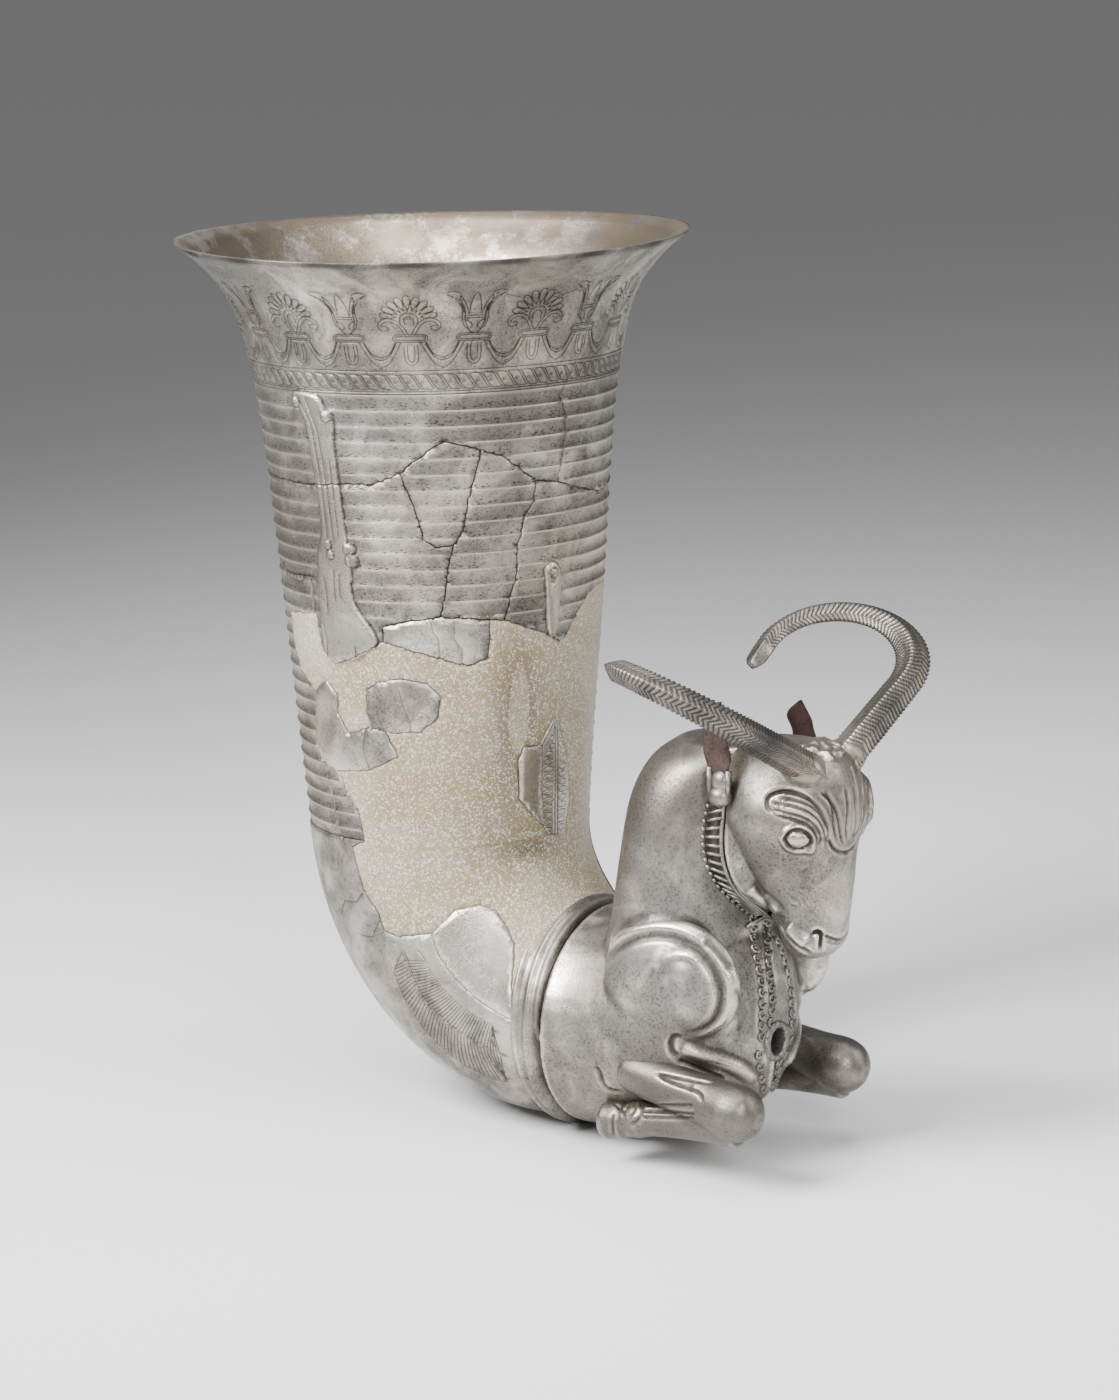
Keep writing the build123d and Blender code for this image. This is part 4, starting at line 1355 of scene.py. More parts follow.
def makeStage():
    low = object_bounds()[0][2]
    bpy.ops.mesh.primitive_plane_add(size=stage["floorSize"] * mm, location=(0, 0, low - stage["floorGap"] * mm))
    floor = bpy.context.object
    floor.name = "floor"
    floor.data.materials.append(finishes["floor"])
    world = bpy.data.worlds.new("room")
    bpy.context.scene.world = world
    world.use_nodes = True
    tree = world.node_tree
    out = tree.nodes["World Output"]
    seen = nodeOf(tree, "ShaderNodeBackground", Color=(stage["cameraGrey"],) * 3 + (1,), Strength=1.0)
    lit = tree.nodes["Background"]
    lit.inputs["Color"].default_value = (stage["roomGrey"],) * 3 + (1,)
    lit.inputs["Strength"].default_value = 1.0
    choose = tree.nodes.new("ShaderNodeMixShader")
    tree.links.new(tree.nodes.new("ShaderNodeLightPath").outputs["Is Camera Ray"], choose.inputs[0])
    tree.links.new(lit.outputs[0], choose.inputs[1])
    tree.links.new(seen.outputs[0], choose.inputs[2])
    tree.links.new(choose.outputs[0], out.inputs["Surface"])
    target = Vector(shot["target"]) * mm
    for name, (turn, rise, distance, width, height, watts, spread) in stage["lights"].items():
        back = awayFrom(turn, rise)
        data = bpy.data.lights.new(name, "AREA")
        data.shape = "RECTANGLE"
        data.size, data.size_y = width * mm, height * mm
        data.energy, data.spread = watts, math.radians(spread)
        lamp = bpy.data.objects.new(name, data)
        bpy.context.scene.collection.objects.link(lamp)
        lamp.location = target + back * distance * mm
        lamp.rotation_euler = back.to_track_quat("Z", "Y").to_euler()


# The animal's forepart. Sections are shares of the same measures as the solids.
body = {
    "start": 3.2,
    "length": 60.0,
    "width": 63.0,
    "height": 64.0,
    "barrel": [
        (0.00, 0.506, 0.506, 0.514), (0.12, 0.505, 0.498, 0.502), (0.35, 0.535, 0.497, 0.508),
        (0.60, 0.580, 0.485, 0.490), (0.80, 0.620, 0.450, 0.405), (0.93, 0.640, 0.360, 0.280),
        (1.00, 0.640, 0.200, 0.150),
    ],
    "neckTop": 122.5,
    "neckWidth": 54.0,
    "neckDepth": 48.0,
    "neck": [
        (0.40, 0.100, 1.060, 0.480), (0.54, 0.200, 1.130, 0.510), (0.70, 0.270, 1.120, 0.500),
        (0.84, 0.330, 1.130, 0.460), (0.93, 0.440, 1.160, 0.380), (0.98, 0.600, 1.180, 0.240),
    ],
    "voxel": 0.62,
    "shoulder": (44.0, 24.3, 55.0),
    "shoulderHalf": (21.0, 7.6, 17.5),
    "shoulderTilt": -8,
    "nape": ((50, 0, 110), (18, 15, 11.5)),
    "softening": 14,
    "spoutHeight": 34.7,
    "spoutRadius": 3.7,
}
headLook = {
    "front": 86.5,
    "top": 121.5,
    "length": 60.0,
    "depth": 37.0,
    "width": 45.0,
    "sections": [
        (0.00, 0.90, 0.22, 0.20), (0.05, 1.00, 0.08, 0.34), (0.16, 1.02, 0.01, 0.45), (0.32, 1.00, -0.02, 0.49),
        (0.48, 0.93, 0.02, 0.40), (0.64, 0.78, 0.02, 0.305), (0.80, 0.62, 0.04, 0.235), (0.92, 0.52, 0.08, 0.22),
        (0.985, 0.44, 0.17, 0.15),
    ],
    "crown": ((70, 0, 117.5), (13.5, 10.5, 5.6)),
    "hornRoot": ((77.6, 10.6, 117.2), (6.2, 5.8, 5.0)),
    # broken metal between the horns: places, sizes and turns of small lumps
    "lumps": 30,
    "lumpPlaces": ((73, 81.5), (-6, 6)),
    "lumpSizes": ((0.8, 2.0), (0.7, 1.9), (0.6, 1.1)),
    "lumpTurns": (-40, 40),
    "lumpBase": 117.3,
    "lumpFall": 0.6,
    "softening": 8,
    "cheek": (5.6, 4.6, 5.2),
    "cheekShift": np.array((4.2, 0.6, 1.0)),
    "voxel": 0.42,
}


def curveThrough(stations, steps):
    stations = np.array(stations, float)
    ends = np.vstack([2 * stations[0] - stations[1], stations, 2 * stations[-1] - stations[-2]])
    rows = []
    for index in range(1, len(ends) - 2):
        a, b, c, d = ends[index - 1:index + 3]
        for t in np.linspace(0, 1, steps, endpoint=False):
            square, cube = 2 * a - 5 * b + 4 * c - d, 3 * b - a - 3 * c + d
            rows.append(0.5 * (2 * b + (c - a) * t + square * t * t + cube * t**3))
    return np.vstack(rows + [stations[-1]])


def loft(name, rings):
    rings = np.array(rings)
    return evenNormals(pieceMesh(name, rings.reshape(-1, 3) * mm, tubeFaces(*rings.shape[:2])))


def oval(centre, first, second, sides=48):
    turns = ringTurns(sides)
    return np.array(centre) + np.outer(np.cos(turns), first) + np.outer(np.sin(turns), second)


def ellipsoid(name, centre, half, tilt=0.0):
    bpy.ops.mesh.primitive_uv_sphere_add(segments=40, ring_count=24, radius=1.0, location=(0, 0, 0))
    piece = bpy.context.object
    piece.name = name
    place = np.array([v.co[:] for v in piece.data.vertices]) * half
    cos, sin = math.cos(math.radians(tilt)), math.sin(math.radians(tilt))
    x, y, z = place.T
    place = np.stack([x * cos - y * sin, x * sin + y * cos, z], axis=1)
    place = (place + centre) * mm
    piece.data.vertices.foreach_set("co", place.ravel())
    piece.data.update()
    bpy.ops.object.select_all(action="DESELECT")
    return piece


def fused(name, parts, voxel, smooth=6):
    bpy.ops.object.select_all(action="DESELECT")
    for part in parts:
        part.select_set(True)
    bpy.context.view_layer.objects.active = parts[0]
    if len(parts) > 1:
        bpy.ops.object.join()
    piece = bpy.context.object
    piece.name = name
    remesh = piece.modifiers.new("even", "REMESH")
    remesh.mode = "VOXEL"
    remesh.voxel_size = voxel * mm
    bpy.ops.object.modifier_apply(modifier=remesh.name)
    soft = piece.modifiers.new("soft", "SMOOTH")
    soft.factor = 0.5
    soft.iterations = smooth
    bpy.ops.object.modifier_apply(modifier=soft.name)
    piece.data.shade_smooth()
    piece.select_set(False)
    return piece


def surfaceOf(*pieces):
    vertices, faces, start = [], [], 0
    for piece in pieces:
        vertices += [v.co.copy() for v in piece.data.vertices]
        faces += [tuple(start + i for i in polygon.vertices) for polygon in piece.data.polygons]
        start = len(vertices)
    return BVHTree.FromPolygons(vertices, faces)


def onSurface(tree, pixels, step=2.0, closed=False):
    line = densify(rounded(pixels, 2, closed), step, closed=closed)
    places, normals = [], []
    for across, down in line:
        hit, normal, _, _ = tree.ray_cast(cameraPlace, pixelRay(across, down))
        if hit is not None:
            places.append(hit)
            normals.append(normal)
    return np.array(places), np.array(normals)


# Thin open lines fade to a share of their depth at both ends
carving = {
    "step": 1.6,
    "fadeUnder": 5,
    "fadeLeft": 0.1,
    "fadeReach": 0.13,
    "hollowPasses": 6,
    "hollowFrom": 0.15,
    "wornFrom": 0.2,
}


def sculpt(piece, tree, features):
    count = len(piece.data.vertices)
    place = np.empty(count * 3)
    piece.data.vertices.foreach_get("co", place)
    place = place.reshape(-1, 3)
    normal = np.array([v.normal[:] for v in piece.data.vertices])
    move, groove = np.zeros(count), np.zeros(count)
    for pixels, half, height, dark, both in features:
        line, _ = onSurface(tree, pixels, carving["step"])
        fades = pixels[0] != pixels[-1] and len(pixels) > 2 and half < carving["fadeUnder"]
        if not len(line):
            continue
        for side in ((1, -1) if both else (1,)):
            samples = line * (1, side, 1)
            finder = treeOf(samples)
            low, high = samples.min(0) - half * mm, samples.max(0) + half * mm
            close = np.nonzero(np.all((place > low) & (place < high), axis=1))[0]
            if not len(close):
                continue
            found = [finder.find(place[index])[1:] for index in close]
            which, away = np.array([f[0] for f in found]), np.array([f[1] for f in found]) / mm
            bump = np.clip(1 - (away / half) ** 2, 0, 1) ** 2
            if fades:
                toEnd = np.minimum(which, len(samples) - 1 - which) / len(samples)
                left = carving["fadeLeft"]
                bump *= left + (1 - left) * smoothStep(toEnd, 0.0, carving["fadeReach"])
            move[close] += height * bump
            groove[close] = np.maximum(groove[close], dark * bump)
    place += normal * (move * mm)[:, None]
    piece.data.vertices.foreach_set("co", place.ravel())
    piece.data.update()
    layer = piece.data.attributes.new("groove", "FLOAT", "POINT")
    layer.data.foreach_set("value", groove.astype(np.float32))


def addCavity(piece, depth, amount=0.8):
    mesh = piece.data
    count = len(mesh.vertices)
    place, normal = np.empty(count * 3), np.array([v.normal[:] for v in mesh.vertices])
    mesh.vertices.foreach_get("co", place)
    place = place.reshape(-1, 3)
    pairs = np.array([edge.vertices[:] for edge in mesh.edges])
    degree = np.maximum(np.bincount(pairs.ravel(), minlength=count), 1)

    def spread(values):
        total = np.zeros_like(values)
        np.add.at(total, pairs[:, 0], values[pairs[:, 1]])
        np.add.at(total, pairs[:, 1], values[pairs[:, 0]])
        return total / degree.reshape(-1, *[1] * (values.ndim - 1))

    smooth = place.copy()
    for _ in range(carving["hollowPasses"]):
        smooth = spread(smooth)
    hollow = ((smooth - place) * normal).sum(axis=1) / mm
    hollow = spread(hollow)
    layer = mesh.attributes["groove"]
    groove = np.empty(count, dtype=np.float32)
    layer.data.foreach_get("value", groove)
    groove = np.maximum(groove, amount * smoothStep(hollow, depth * carving["hollowFrom"], depth))
    layer.data.foreach_set("value", groove.astype(np.float32))
    worn = mesh.attributes.new("ridge", "FLOAT", "POINT")
    worn.data.foreach_set("value", smoothStep(-hollow, depth * carving["wornFrom"], depth).astype(np.float32))


def makeBody():
    rings = []
    for forward, middle, tall, wide in curveThrough(body["barrel"], 6):
        centre = (body["start"] + forward * body["length"], 0, middle * body["height"])
        rings.append(oval(centre, (0, wide * body["width"], 0), (0, 0, tall * body["height"])))
    barrel = loft("barrel", rings)
    rings = []
    for up, back, ahead, wide in curveThrough(body["neck"], 6):
        low, high = (body["start"] + share * body["neckDepth"] for share in (back, ahead))
        centre = ((low + high) / 2, 0, up * body["neckTop"])
        rings.append(oval(centre, ((high - low) / 2, 0, 0), (0, wide * body["neckWidth"], 0)))
    neck = loft("neck", rings)
    parts = [barrel, neck, ellipsoid("nape", *body["nape"])]
    for side in (1, -1):
        x, y, z = body["shoulder"]
        parts.append(ellipsoid("shoulder", (x, y * side, z), body["shoulderHalf"], body["shoulderTilt"] * side))
    return fused("body_look", parts, body["voxel"], body["softening"])


def makeHead(tree):
    rings = []
    for down, back, ahead, wide in curveThrough(headLook["sections"], 6):
        low, high = (headLook["front"] - share * headLook["depth"] for share in (back, ahead))
        height = headLook["top"] - down * headLook["length"]
        rings.append(oval(((low + high) / 2, 0, height), ((high - low) / 2, 0, 0), (0, wide * headLook["width"], 0)))
    parts = [loft("skull", rings), ellipsoid("crown", *headLook["crown"])]
    rootCentre, rootHalf = headLook["hornRoot"]
    rng = random.Random(8)
    for side in (1, -1):
        flip = np.array((1, side, 1))
        parts.append(ellipsoid("hornRoot", rootCentre * flip, rootHalf))
        for place in onSurface(tree, ruff["border"][:-2], 3.0)[0] / mm:
            parts.append(ellipsoid("cheek", place * flip + headLook["cheekShift"] * flip, headLook["cheek"]))
    (crownX, _, _), (crownLong, crownWide, crownTall) = headLook["crown"]
    for _ in range(headLook["lumps"]):
        x, y = (rng.uniform(*ends) for ends in headLook["lumpPlaces"])
        fall = ((x - crownX) / crownLong) ** 2, (y / crownWide) ** 2 * headLook["lumpFall"]
        z = headLook["lumpBase"] + crownTall * math.sqrt(1 - fall[0] - fall[1])
        size = [rng.uniform(*ends) for ends in headLook["lumpSizes"]]
        parts.append(ellipsoid("lump", (x, y, z), size, rng.uniform(*headLook["lumpTurns"])))
    return fused("head_look", parts, headLook["voxel"], headLook["softening"])


def limbLoft(name, stations):
    rings = []
    path = np.array([station[:3] for station in stations])
    for index, (x, y, z, tall, wide) in enumerate(stations):
        ahead = path[min(index + 1, len(path) - 1)] - path[max(index - 1, 0)]
        ahead /= np.linalg.norm(ahead)
        up = np.cross(ahead, (0, 1, 0))
        up /= np.linalg.norm(up)
        rings.append(oval((x, y, z), up * tall, np.array((0, wide, 0)), 28))
    return loft(name, rings)


legs = {
    "upper": [
        (29.5, 27, 27.5, 2.5, 2.5), (30.4, 27, 27.4, 4.6, 4.4), (33, 27, 27, 6.0, 5.6), (40, 27, 26, 6.5, 6.0),
        (52, 27, 24.2, 6.7, 6.2), (61, 27, 22.6, 7.6, 7.0), (67, 27, 21.7, 8.2, 8.0), (71.5, 27, 21.1, 7.4, 7.2),
        (74.3, 27, 20.7, 5.0, 5.0),
        (76.0, 27, 20.5, 1.6, 1.6),
    ],
    "shin": [
        (69, 27, 17.2, 5.5, 5.0), (60, 27, 16.6, 5.2, 4.7), (50, 27, 15.2, 4.6, 4.3), (40, 27, 13.8, 4.5, 4.2),
        (36, 27, 13.2, 5.2, 4.8), (32.5, 27, 12.4, 5.0, 4.6), (31, 27, 12.0, 4.3, 4.4), (29.6, 27, 11.6, 5.2, 4.9),
        (24.5, 27, 10.8, 5.6, 5.2),
        (23.2, 27, 10.7, 4.9, 4.5),
    ],
    "voxel": 0.45,
}


def makeLegs():
    made = []
    for word, side in (("left", 1), ("right", -1)):
        parts = []
        for key in ("upper", "shin"):
            stations = [(x, y * side, z, tall, wide) for x, y, z, tall, wide in legs[key]]
            if key == "upper":
                stations = curveThrough(stations, 3)
            parts.append(limbLoft(key, stations))
        piece = fused("foreleg_" + word + "_look", parts, legs["voxel"], 7)
        made.append(piece)
    return made


class Pile:
    def __init__(self):
        self.vertices, self.faces = [], []

    def add(self, vertices, faces):
        start = sum(len(block) for block in self.vertices)
        self.vertices.append(np.asarray(vertices))
        self.faces += [tuple(start + i for i in face) for face in faces]

    def grid(self, rows):
        rows = np.array(rows)
        self.add(rows.reshape(-1, 3), tubeFaces(*rows.shape[:2]))

    def blob(self, centre, first, second, third, rings=6, sides=10):
        turns = ringTurns(sides)
        rows = []
        for rise in np.linspace(-0.94, 0.94, rings):
            flatness = math.sqrt(1 - rise * rise)
            rows.append(np.array(centre) + rise * np.array(third) + flatness * (
                np.outer(np.cos(turns), first) + np.outer(np.sin(turns), second)))
        self.grid(rows)

    def rod(self, path, radius, up, sides=8, flatten=1.0):
        path = np.array(path)
        rows, turns = [], ringTurns(sides)
        radii = radius if hasattr(radius, "__len__") else [radius] * len(path)
        for index, place in enumerate(path):
            ahead = path[min(index + 1, len(path) - 1)] - path[max(index - 1, 0)]
            ahead = ahead / max(np.linalg.norm(ahead), 1e-9)
            across = np.cross(ahead, up[index] if np.ndim(up) > 1 else up)
            across /= max(np.linalg.norm(across), 1e-9)
            high = np.cross(across, ahead)
            ring = np.outer(np.cos(turns), across) + flatten * np.outer(np.sin(turns), high)
            rows.append(place + radii[index] * ring)
        self.grid(rows)

    def finish(self, name):
        return evenNormals(pieceMesh(name, np.vstack(self.vertices), self.faces))


ruff = {
    "border": [
        (727, 802), (723.6, 817.5), (722, 836), (722.7, 855), (727, 872.6), (733, 886.4), (743.4, 898.4), (757, 908.8),
        (771, 917.4),
    ],
    "rim": [
        (707, 806), (702.5, 822), (701.5, 838), (702.5, 853), (707, 869), (715.5, 885), (727, 897.5), (743, 910.5),
        (758, 920),
    ],
    # place along a bar and height over the skin
    "barPath": ((0.06, -0.3), (0.1, 0.35), (0.45, 0.5), (0.8, 0.35)),
    "barRoot": 0.3,
    # how far each border strand lies from the ruff's inner line, and its radius
    "strands": ((0.0, 0.6), (0.22, 0.4)),
    "bars": 21,
    "bar": 0.46,
    "ball": 0.72,
}
chest = {
    "rows": [
        [(752, 917), (754, 941), (759, 966), (762, 986), (762, 1006), (761, 1023), (761, 1036)],
        [(764, 919), (766, 939), (768.5, 968), (771, 988), (772, 1006), (770.5, 1022)],
        [(759, 1054), (760, 1072), (764, 1088)],
        [(778, 1063), (776, 1078), (773, 1090)],
    ],
    "step": 2.85,
    "curl": 1.3,
    "thick": 0.5,
    "bead": 0.42,
}


# Lines of the animal as pixels of the photograph: half width, height, darkness, on both sides
bodyLines = [
    ([(715, 805), (711, 822), (710, 838), (711, 853), (716, 869), (723.5, 884), (735, 896), (750, 908),
      (765, 918)], 2.3, -0.45, 0.7, True),
    *((pixels, 1.9, -0.3, 0.6, row % 2 == 0) for row, pixels in enumerate(chest["rows"])),
    ([(601, 958), (613, 939), (641, 928), (674, 925), (700, 933), (720, 950), (730, 970), (733, 994),
      (729, 1018), (719, 1036), (702, 1046)], 4.3, 1.0, 0.0, True),
    ([(604, 962), (621, 944), (645, 935), (670, 935), (690, 943), (709, 959), (721, 980),
      (723, 1000), (717, 1019), (703, 1031), (684, 1036)], 2.3, -1.0, 0.32, True),
    ([(652, 970), (660, 958), (674, 952), (690, 953), (703, 962)], 2.6, 0.9, 0.0, True),
    ([(648, 984), (652, 968), (662, 956), (676, 949), (692, 949)], 1.9, -0.4, 0.12, True),
    ([(690, 975), (698, 990), (690, 1005)], 9.5, 1.8, 0.0, True),
    ([(703, 939), (715, 947), (725, 960), (732, 971)], 2.6, -1.1, 0.45, True),
    ([(682, 1037), (675, 1036), (670.5, 1042), (672, 1051), (678, 1058)], 1.3, -0.9, 0.7, True),
    ([(680, 1046), (703, 1056), (723, 1061), (744, 1070), (756, 1082)], 2.8, 1.7, 0.0, True),
    ([(676, 1059), (699, 1070), (719, 1077), (736, 1086)], 1.3, -1.2, 0.85, True),
    ([(593, 1070), (597.5, 1067), (600.8, 1076), (603, 1084), (609, 1090), (622, 1092)], 0.9, -0.7, 0.85, True),
    ([(580, 925), (600, 922), (622, 918), (650, 916)], 3.5, -0.5, 0.1, True),
    ([(731, 985), (741, 1000), (744, 1020), (738, 1036)], 2.2, -0.5, 0.15, True),
    ([(764, 914), (768, 948), (774, 982), (775, 1008), (773, 1021)], 0.8, -0.35, 0.9, False),
    ([(773, 1059), (770, 1078), (766, 1097)], 1.0, 0.7, 0.0, False),
    ([(694, 800), (698, 850), (716, 890), (735, 918)], 7.0, 0.0, 0.34, True),
    ([(600, 1040), (640, 1068), (680, 1072), (740, 1095)], 10.0, 0.0, 0.34, True),
    ([(735, 940), (745, 985), (748, 1035)], 6.5, 0.0, 0.3, True),
    ([(597, 965), (594, 1000), (600, 1030)], 6.0, 0.0, 0.28, True),
]
legLines = [
    ([(656, 1074), (674, 1077), (695, 1081), (713, 1084)], 0.8, -0.7, 0.85, True),
    ([(656, 1074), (670, 1082), (686.5, 1088), (699, 1092), (702, 1098), (701, 1103)], 0.8, -0.6, 0.8, True),
    ([(665, 1078), (690, 1085)], 1.4, -0.4, 0.35, True),
    ([(650, 1094), (700, 1112), (660, 1120)], 7.5, 0.0, 0.3, True),
    ([(646, 1105), (691, 1105)], 0.65, -0.55, 0.9, True),
    ([(645, 1111), (693, 1114)], 0.65, -0.55, 0.9, True),
    ([(643, 1117), (693, 1118)], 0.65, -0.5, 0.8, True),
    ([(646, 1108), (692, 1109.5)], 0.6, 0.3, 0.0, True),
    ([(614, 1113), (611.5, 1122), (614, 1136)], 0.6, -0.5, 0.8, True),
    ([(643.5, 1102), (642, 1114), (636, 1122), (629, 1124)], 0.6, -0.5, 0.9, True),
    ([(635.5, 1102), (634.5, 1112), (628, 1118)], 0.6, -0.5, 0.9, True),
    ([(628.4, 1101), (627, 1108), (623, 1112)], 0.6, -0.5, 0.9, True),
    ([(625, 1117), (620, 1108), (614, 1103)], 0.7, -0.6, 0.9, True),
]
headLines = [
    ([(774, 815), (790, 818.3), (803.7, 822.6), (812.3, 829.5), (815.8, 838), (815, 846)], 0.7, -1.1, 0.95, True),
    ([(771, 809), (786.5, 813), (802, 816.6), (814, 824.4), (819.2, 834.7), (820, 847)], 0.7, -1.0, 0.9, True),
    ([(771, 803), (783, 804), (800, 808), (814, 816), (821.8, 828), (823.5, 842)], 0.7, -1.0, 0.9, True),
    ([(776, 797.7), (790, 798.5), (807, 803.7), (819, 814), (825.2, 828)], 0.7, -1.0, 0.9, True),
    ([(776, 815.5), (766.5, 808), (765.8, 801), (769.2, 795), (779.6, 790.8), (793.4, 792), (807, 798),
      (817.5, 807), (825.2, 821), (827.5, 836), (825, 849)], 0.95, -1.2, 0.9, True),
    ([(775, 804), (800, 806), (818, 822), (822, 842)], 4.6, 2.0, 0.0, True),
    ([(781.6, 838), (786, 829), (797, 825.6), (808, 828.6), (814.6, 838), (813, 848), (811, 852), (806, 850),
      (797, 851.5), (786, 848), (781.6, 838)], 1.1, 0.9, 0.0, True),
    ([(784.4, 838), (788.6, 831), (797, 828), (806, 830.8), (811, 838), (809, 845), (797, 848.7),
      (788, 845), (784.4, 838)], 0.8, -1.3, 1.0, True),
    ([(797, 838), (798.5, 838)], 4.6, 2.1, 0.0, True),
    ([(817.5, 790), (831, 800), (838, 814), (840, 828), (841.6, 840), (846, 846)], 0.75, -0.7, 1.0, True),
    ([(845, 786), (848, 800), (848, 815), (846, 830), (848, 842)], 0.75, -0.7, 1.0, True),
    ([(829, 838), (830.4, 843.3), (834.7, 850), (841.6, 853), (850, 852)], 0.8, -0.8, 1.0, True),
    ([(824, 788), (833, 806), (834, 828), (838, 842)], 0.7, -0.5, 0.9, True),
    ([(798, 772), (822, 778), (836, 800), (838, 830), (846, 845)], 9.5, 0.0, 0.42, True),
    ([(770, 860), (765, 885)], 9.0, 0.0, 0.22, True),
    ([(835, 890), (845, 915)], 6.0, 0.0, 0.25, True),
    ([(850, 764), (855.5, 784), (857.5, 802), (856, 829), (852.5, 845)], 0.85, -1.0, 1.0, False),
    ([(812.3, 935), (817.5, 931.2), (822.6, 935), (820, 942), (821, 950)], 1.0, -1.5, 1.0, True),
    ([(814, 938), (816.5, 934.5), (818, 940), (817.5, 948)], 0.9, 0.6, 0.0, True),
    ([(824, 935.5), (836.4, 940.6), (845, 939.5)], 0.7, -0.9, 0.95, True),
    ([(826, 940.5), (836, 944.5), (843, 943)], 0.5, -0.4, 0.8, True),
    ([(748.6, 888), (760, 897), (771, 906), (779.6, 913)], 2.8, 0.8, 0.0, True),
    ([(750, 883), (763, 891), (775, 901), (783, 911)], 2.0, -0.5, 0.3, True),
    ([(778, 921), (783, 929.4), (791.6, 940), (802, 948.6), (812, 954)], 1.0, -0.7, 0.85, True),
    ([(787, 926), (795, 936), (806, 945)], 3.8, 1.2, 0.0, True),
    ([(803, 868), (810, 880), (806, 892)], 3.0, -0.5, 0.2, True),
    ([(787, 893), (794, 900)], 0.45, -0.2, 0.7, False),
    ([(793, 897), (801, 903), (799, 908), (788, 904)], 0.45, -0.2, 0.7, False),
    ([(803, 899), (806, 904)], 0.45, -0.2, 0.6, False),
    (ruff["border"] + [(778, 921)], 0.9, -0.9, 0.9, True),
]


def stationsOn(tree, pixels, count):
    places, normals = onSurface(tree, pixels, 0.8)
    gaps = np.concatenate([[0], np.cumsum(np.linalg.norm(np.diff(places, axis=0), axis=1))])
    spots = np.linspace(0, gaps[-1], count)
    place = np.stack([np.interp(spots, gaps, places[:, axis]) for axis in range(3)], axis=1)
    normal = np.stack([np.interp(spots, gaps, normals[:, axis]) for axis in range(3)], axis=1)
    return place, normal / np.linalg.norm(normal, axis=1)[:, None]


def makeRuff(tree):
    pile = Pile()
    inner, innerNormal = stationsOn(tree, ruff["border"], ruff["bars"])
    outer, outerNormal = stationsOn(tree, ruff["rim"], ruff["bars"])
    for side in (1, -1):
        flip = np.array((1, side, 1))
        for index in range(ruff["bars"]):
            start, stop = inner[index] * flip, outer[index] * flip
            up = innerNormal[index] * flip
            reach = stop - start
            bar = [start + reach * share + up * lift * mm for share, lift in ruff["barPath"]]
            pile.rod(bar, [ruff["barRoot"] * mm] + [ruff["bar"] * mm] * 3, up, flatten=0.9)
            ball = start + reach * 0.95 + outerNormal[index] * flip * 0.1 * mm
            size = ruff["ball"] * mm
            pile.blob(ball, (size, 0, 0), (0, size, 0), (0, 0, size))
        for shift, radius in ruff["strands"]:
            border = inner * flip + innerNormal * flip * 0.35 * mm - (outer - inner) * flip * (shift - 0.05)
            pile.rod(border, radius * mm, up=innerNormal * flip, sides=8)
    return pile.finish("ruff")


def makeChestCurls(tree):
    pile = Pile()
    rng = random.Random(11)
    for row, pixels in enumerate(chest["rows"]):
        places, _ = onSurface(tree, pixels, 1.0)
        length = np.linalg.norm(np.diff(places, axis=0), axis=1).sum() / mm
        place, normal = stationsOn(tree, pixels, max(2, int(length / chest["step"])))
        for side in (1, -1):
            if side < 0 and row % 2:
                continue
            flip = np.array((1, side, 1))
            for index in range(len(place)):
                spot, up = place[index] * flip, normal[index] * flip
                ahead = place[min(index + 1, len(place) - 1)] - place[max(index - 1, 0)]
                ahead = ahead * flip / np.linalg.norm(ahead)
                across = np.cross(up, ahead)
                start = rng.uniform(-0.5, 0.5)
                turns = np.linspace(start, start + 1.55 * math.pi, 9)
                reach = chest["curl"] * mm * np.linspace(1.1, 0.75, 9)
                foot = spot + up * 0.1 * mm
                path = [foot + across * r * math.cos(t) + ahead * r * math.sin(t) for t, r in zip(turns, reach)]
                pile.rod(path, chest["thick"] * mm, up, sides=6)
                bead = chest["bead"] * mm
                pile.blob(foot, across * bead, ahead * bead, up * bead, rings=4, sides=6)
    return pile.finish("chestCurls")


hornLook = {
    "root": (78.6, 6.9, 116.2),
    "pitch": 26.8,
    "rise": 13.4,
    "stem": 35.8,
    "radius": 21.6,
    "turn": 186.0,
    "tip": 11.0,
    "rootWidth": 11.6,
    "tipWidth": 5.6,
    "rootThick": 9.4,
    "tipThick": 4.8,
    "thinning": 1.6,
    "ridges": 79,
    "ridgeDepth": 0.5,
    "smoothTip": 0.93,
    "samples": 8,
    "around": 32,
}


def hornPath(side, count):
    pitch, rise = math.radians(hornLook["pitch"]), math.radians(hornLook["rise"])
    out = np.array((0, side * math.cos(pitch), math.sin(pitch)))
    back = np.array((-math.cos(rise), -side * math.sin(rise) * math.sin(pitch), math.sin(rise) * math.cos(pitch)))
    root = np.array(hornLook["root"]) * (1, side, 1)
    stemEnd = root + out * hornLook["stem"]
    radius, turn = hornLook["radius"], math.radians(hornLook["turn"])
    total = hornLook["stem"] + radius * turn + hornLook["tip"]
    places, headings = [], []
    for length in np.linspace(0, total, count):
        if length < hornLook["stem"]:
            places.append(root + out * length)
            headings.append(out)
            continue
        angle = min((length - hornLook["stem"]) / radius, turn)
        over = max(0, length - hornLook["stem"] - radius * turn)
        heading = back * math.sin(angle) + out * math.cos(angle)
        place = stemEnd + back * radius * (1 - math.cos(angle)) + out * radius * math.sin(angle)
        places.append(place + heading * over)
        headings.append(heading)
    return np.array(places), np.array(headings), np.cross(back, out)


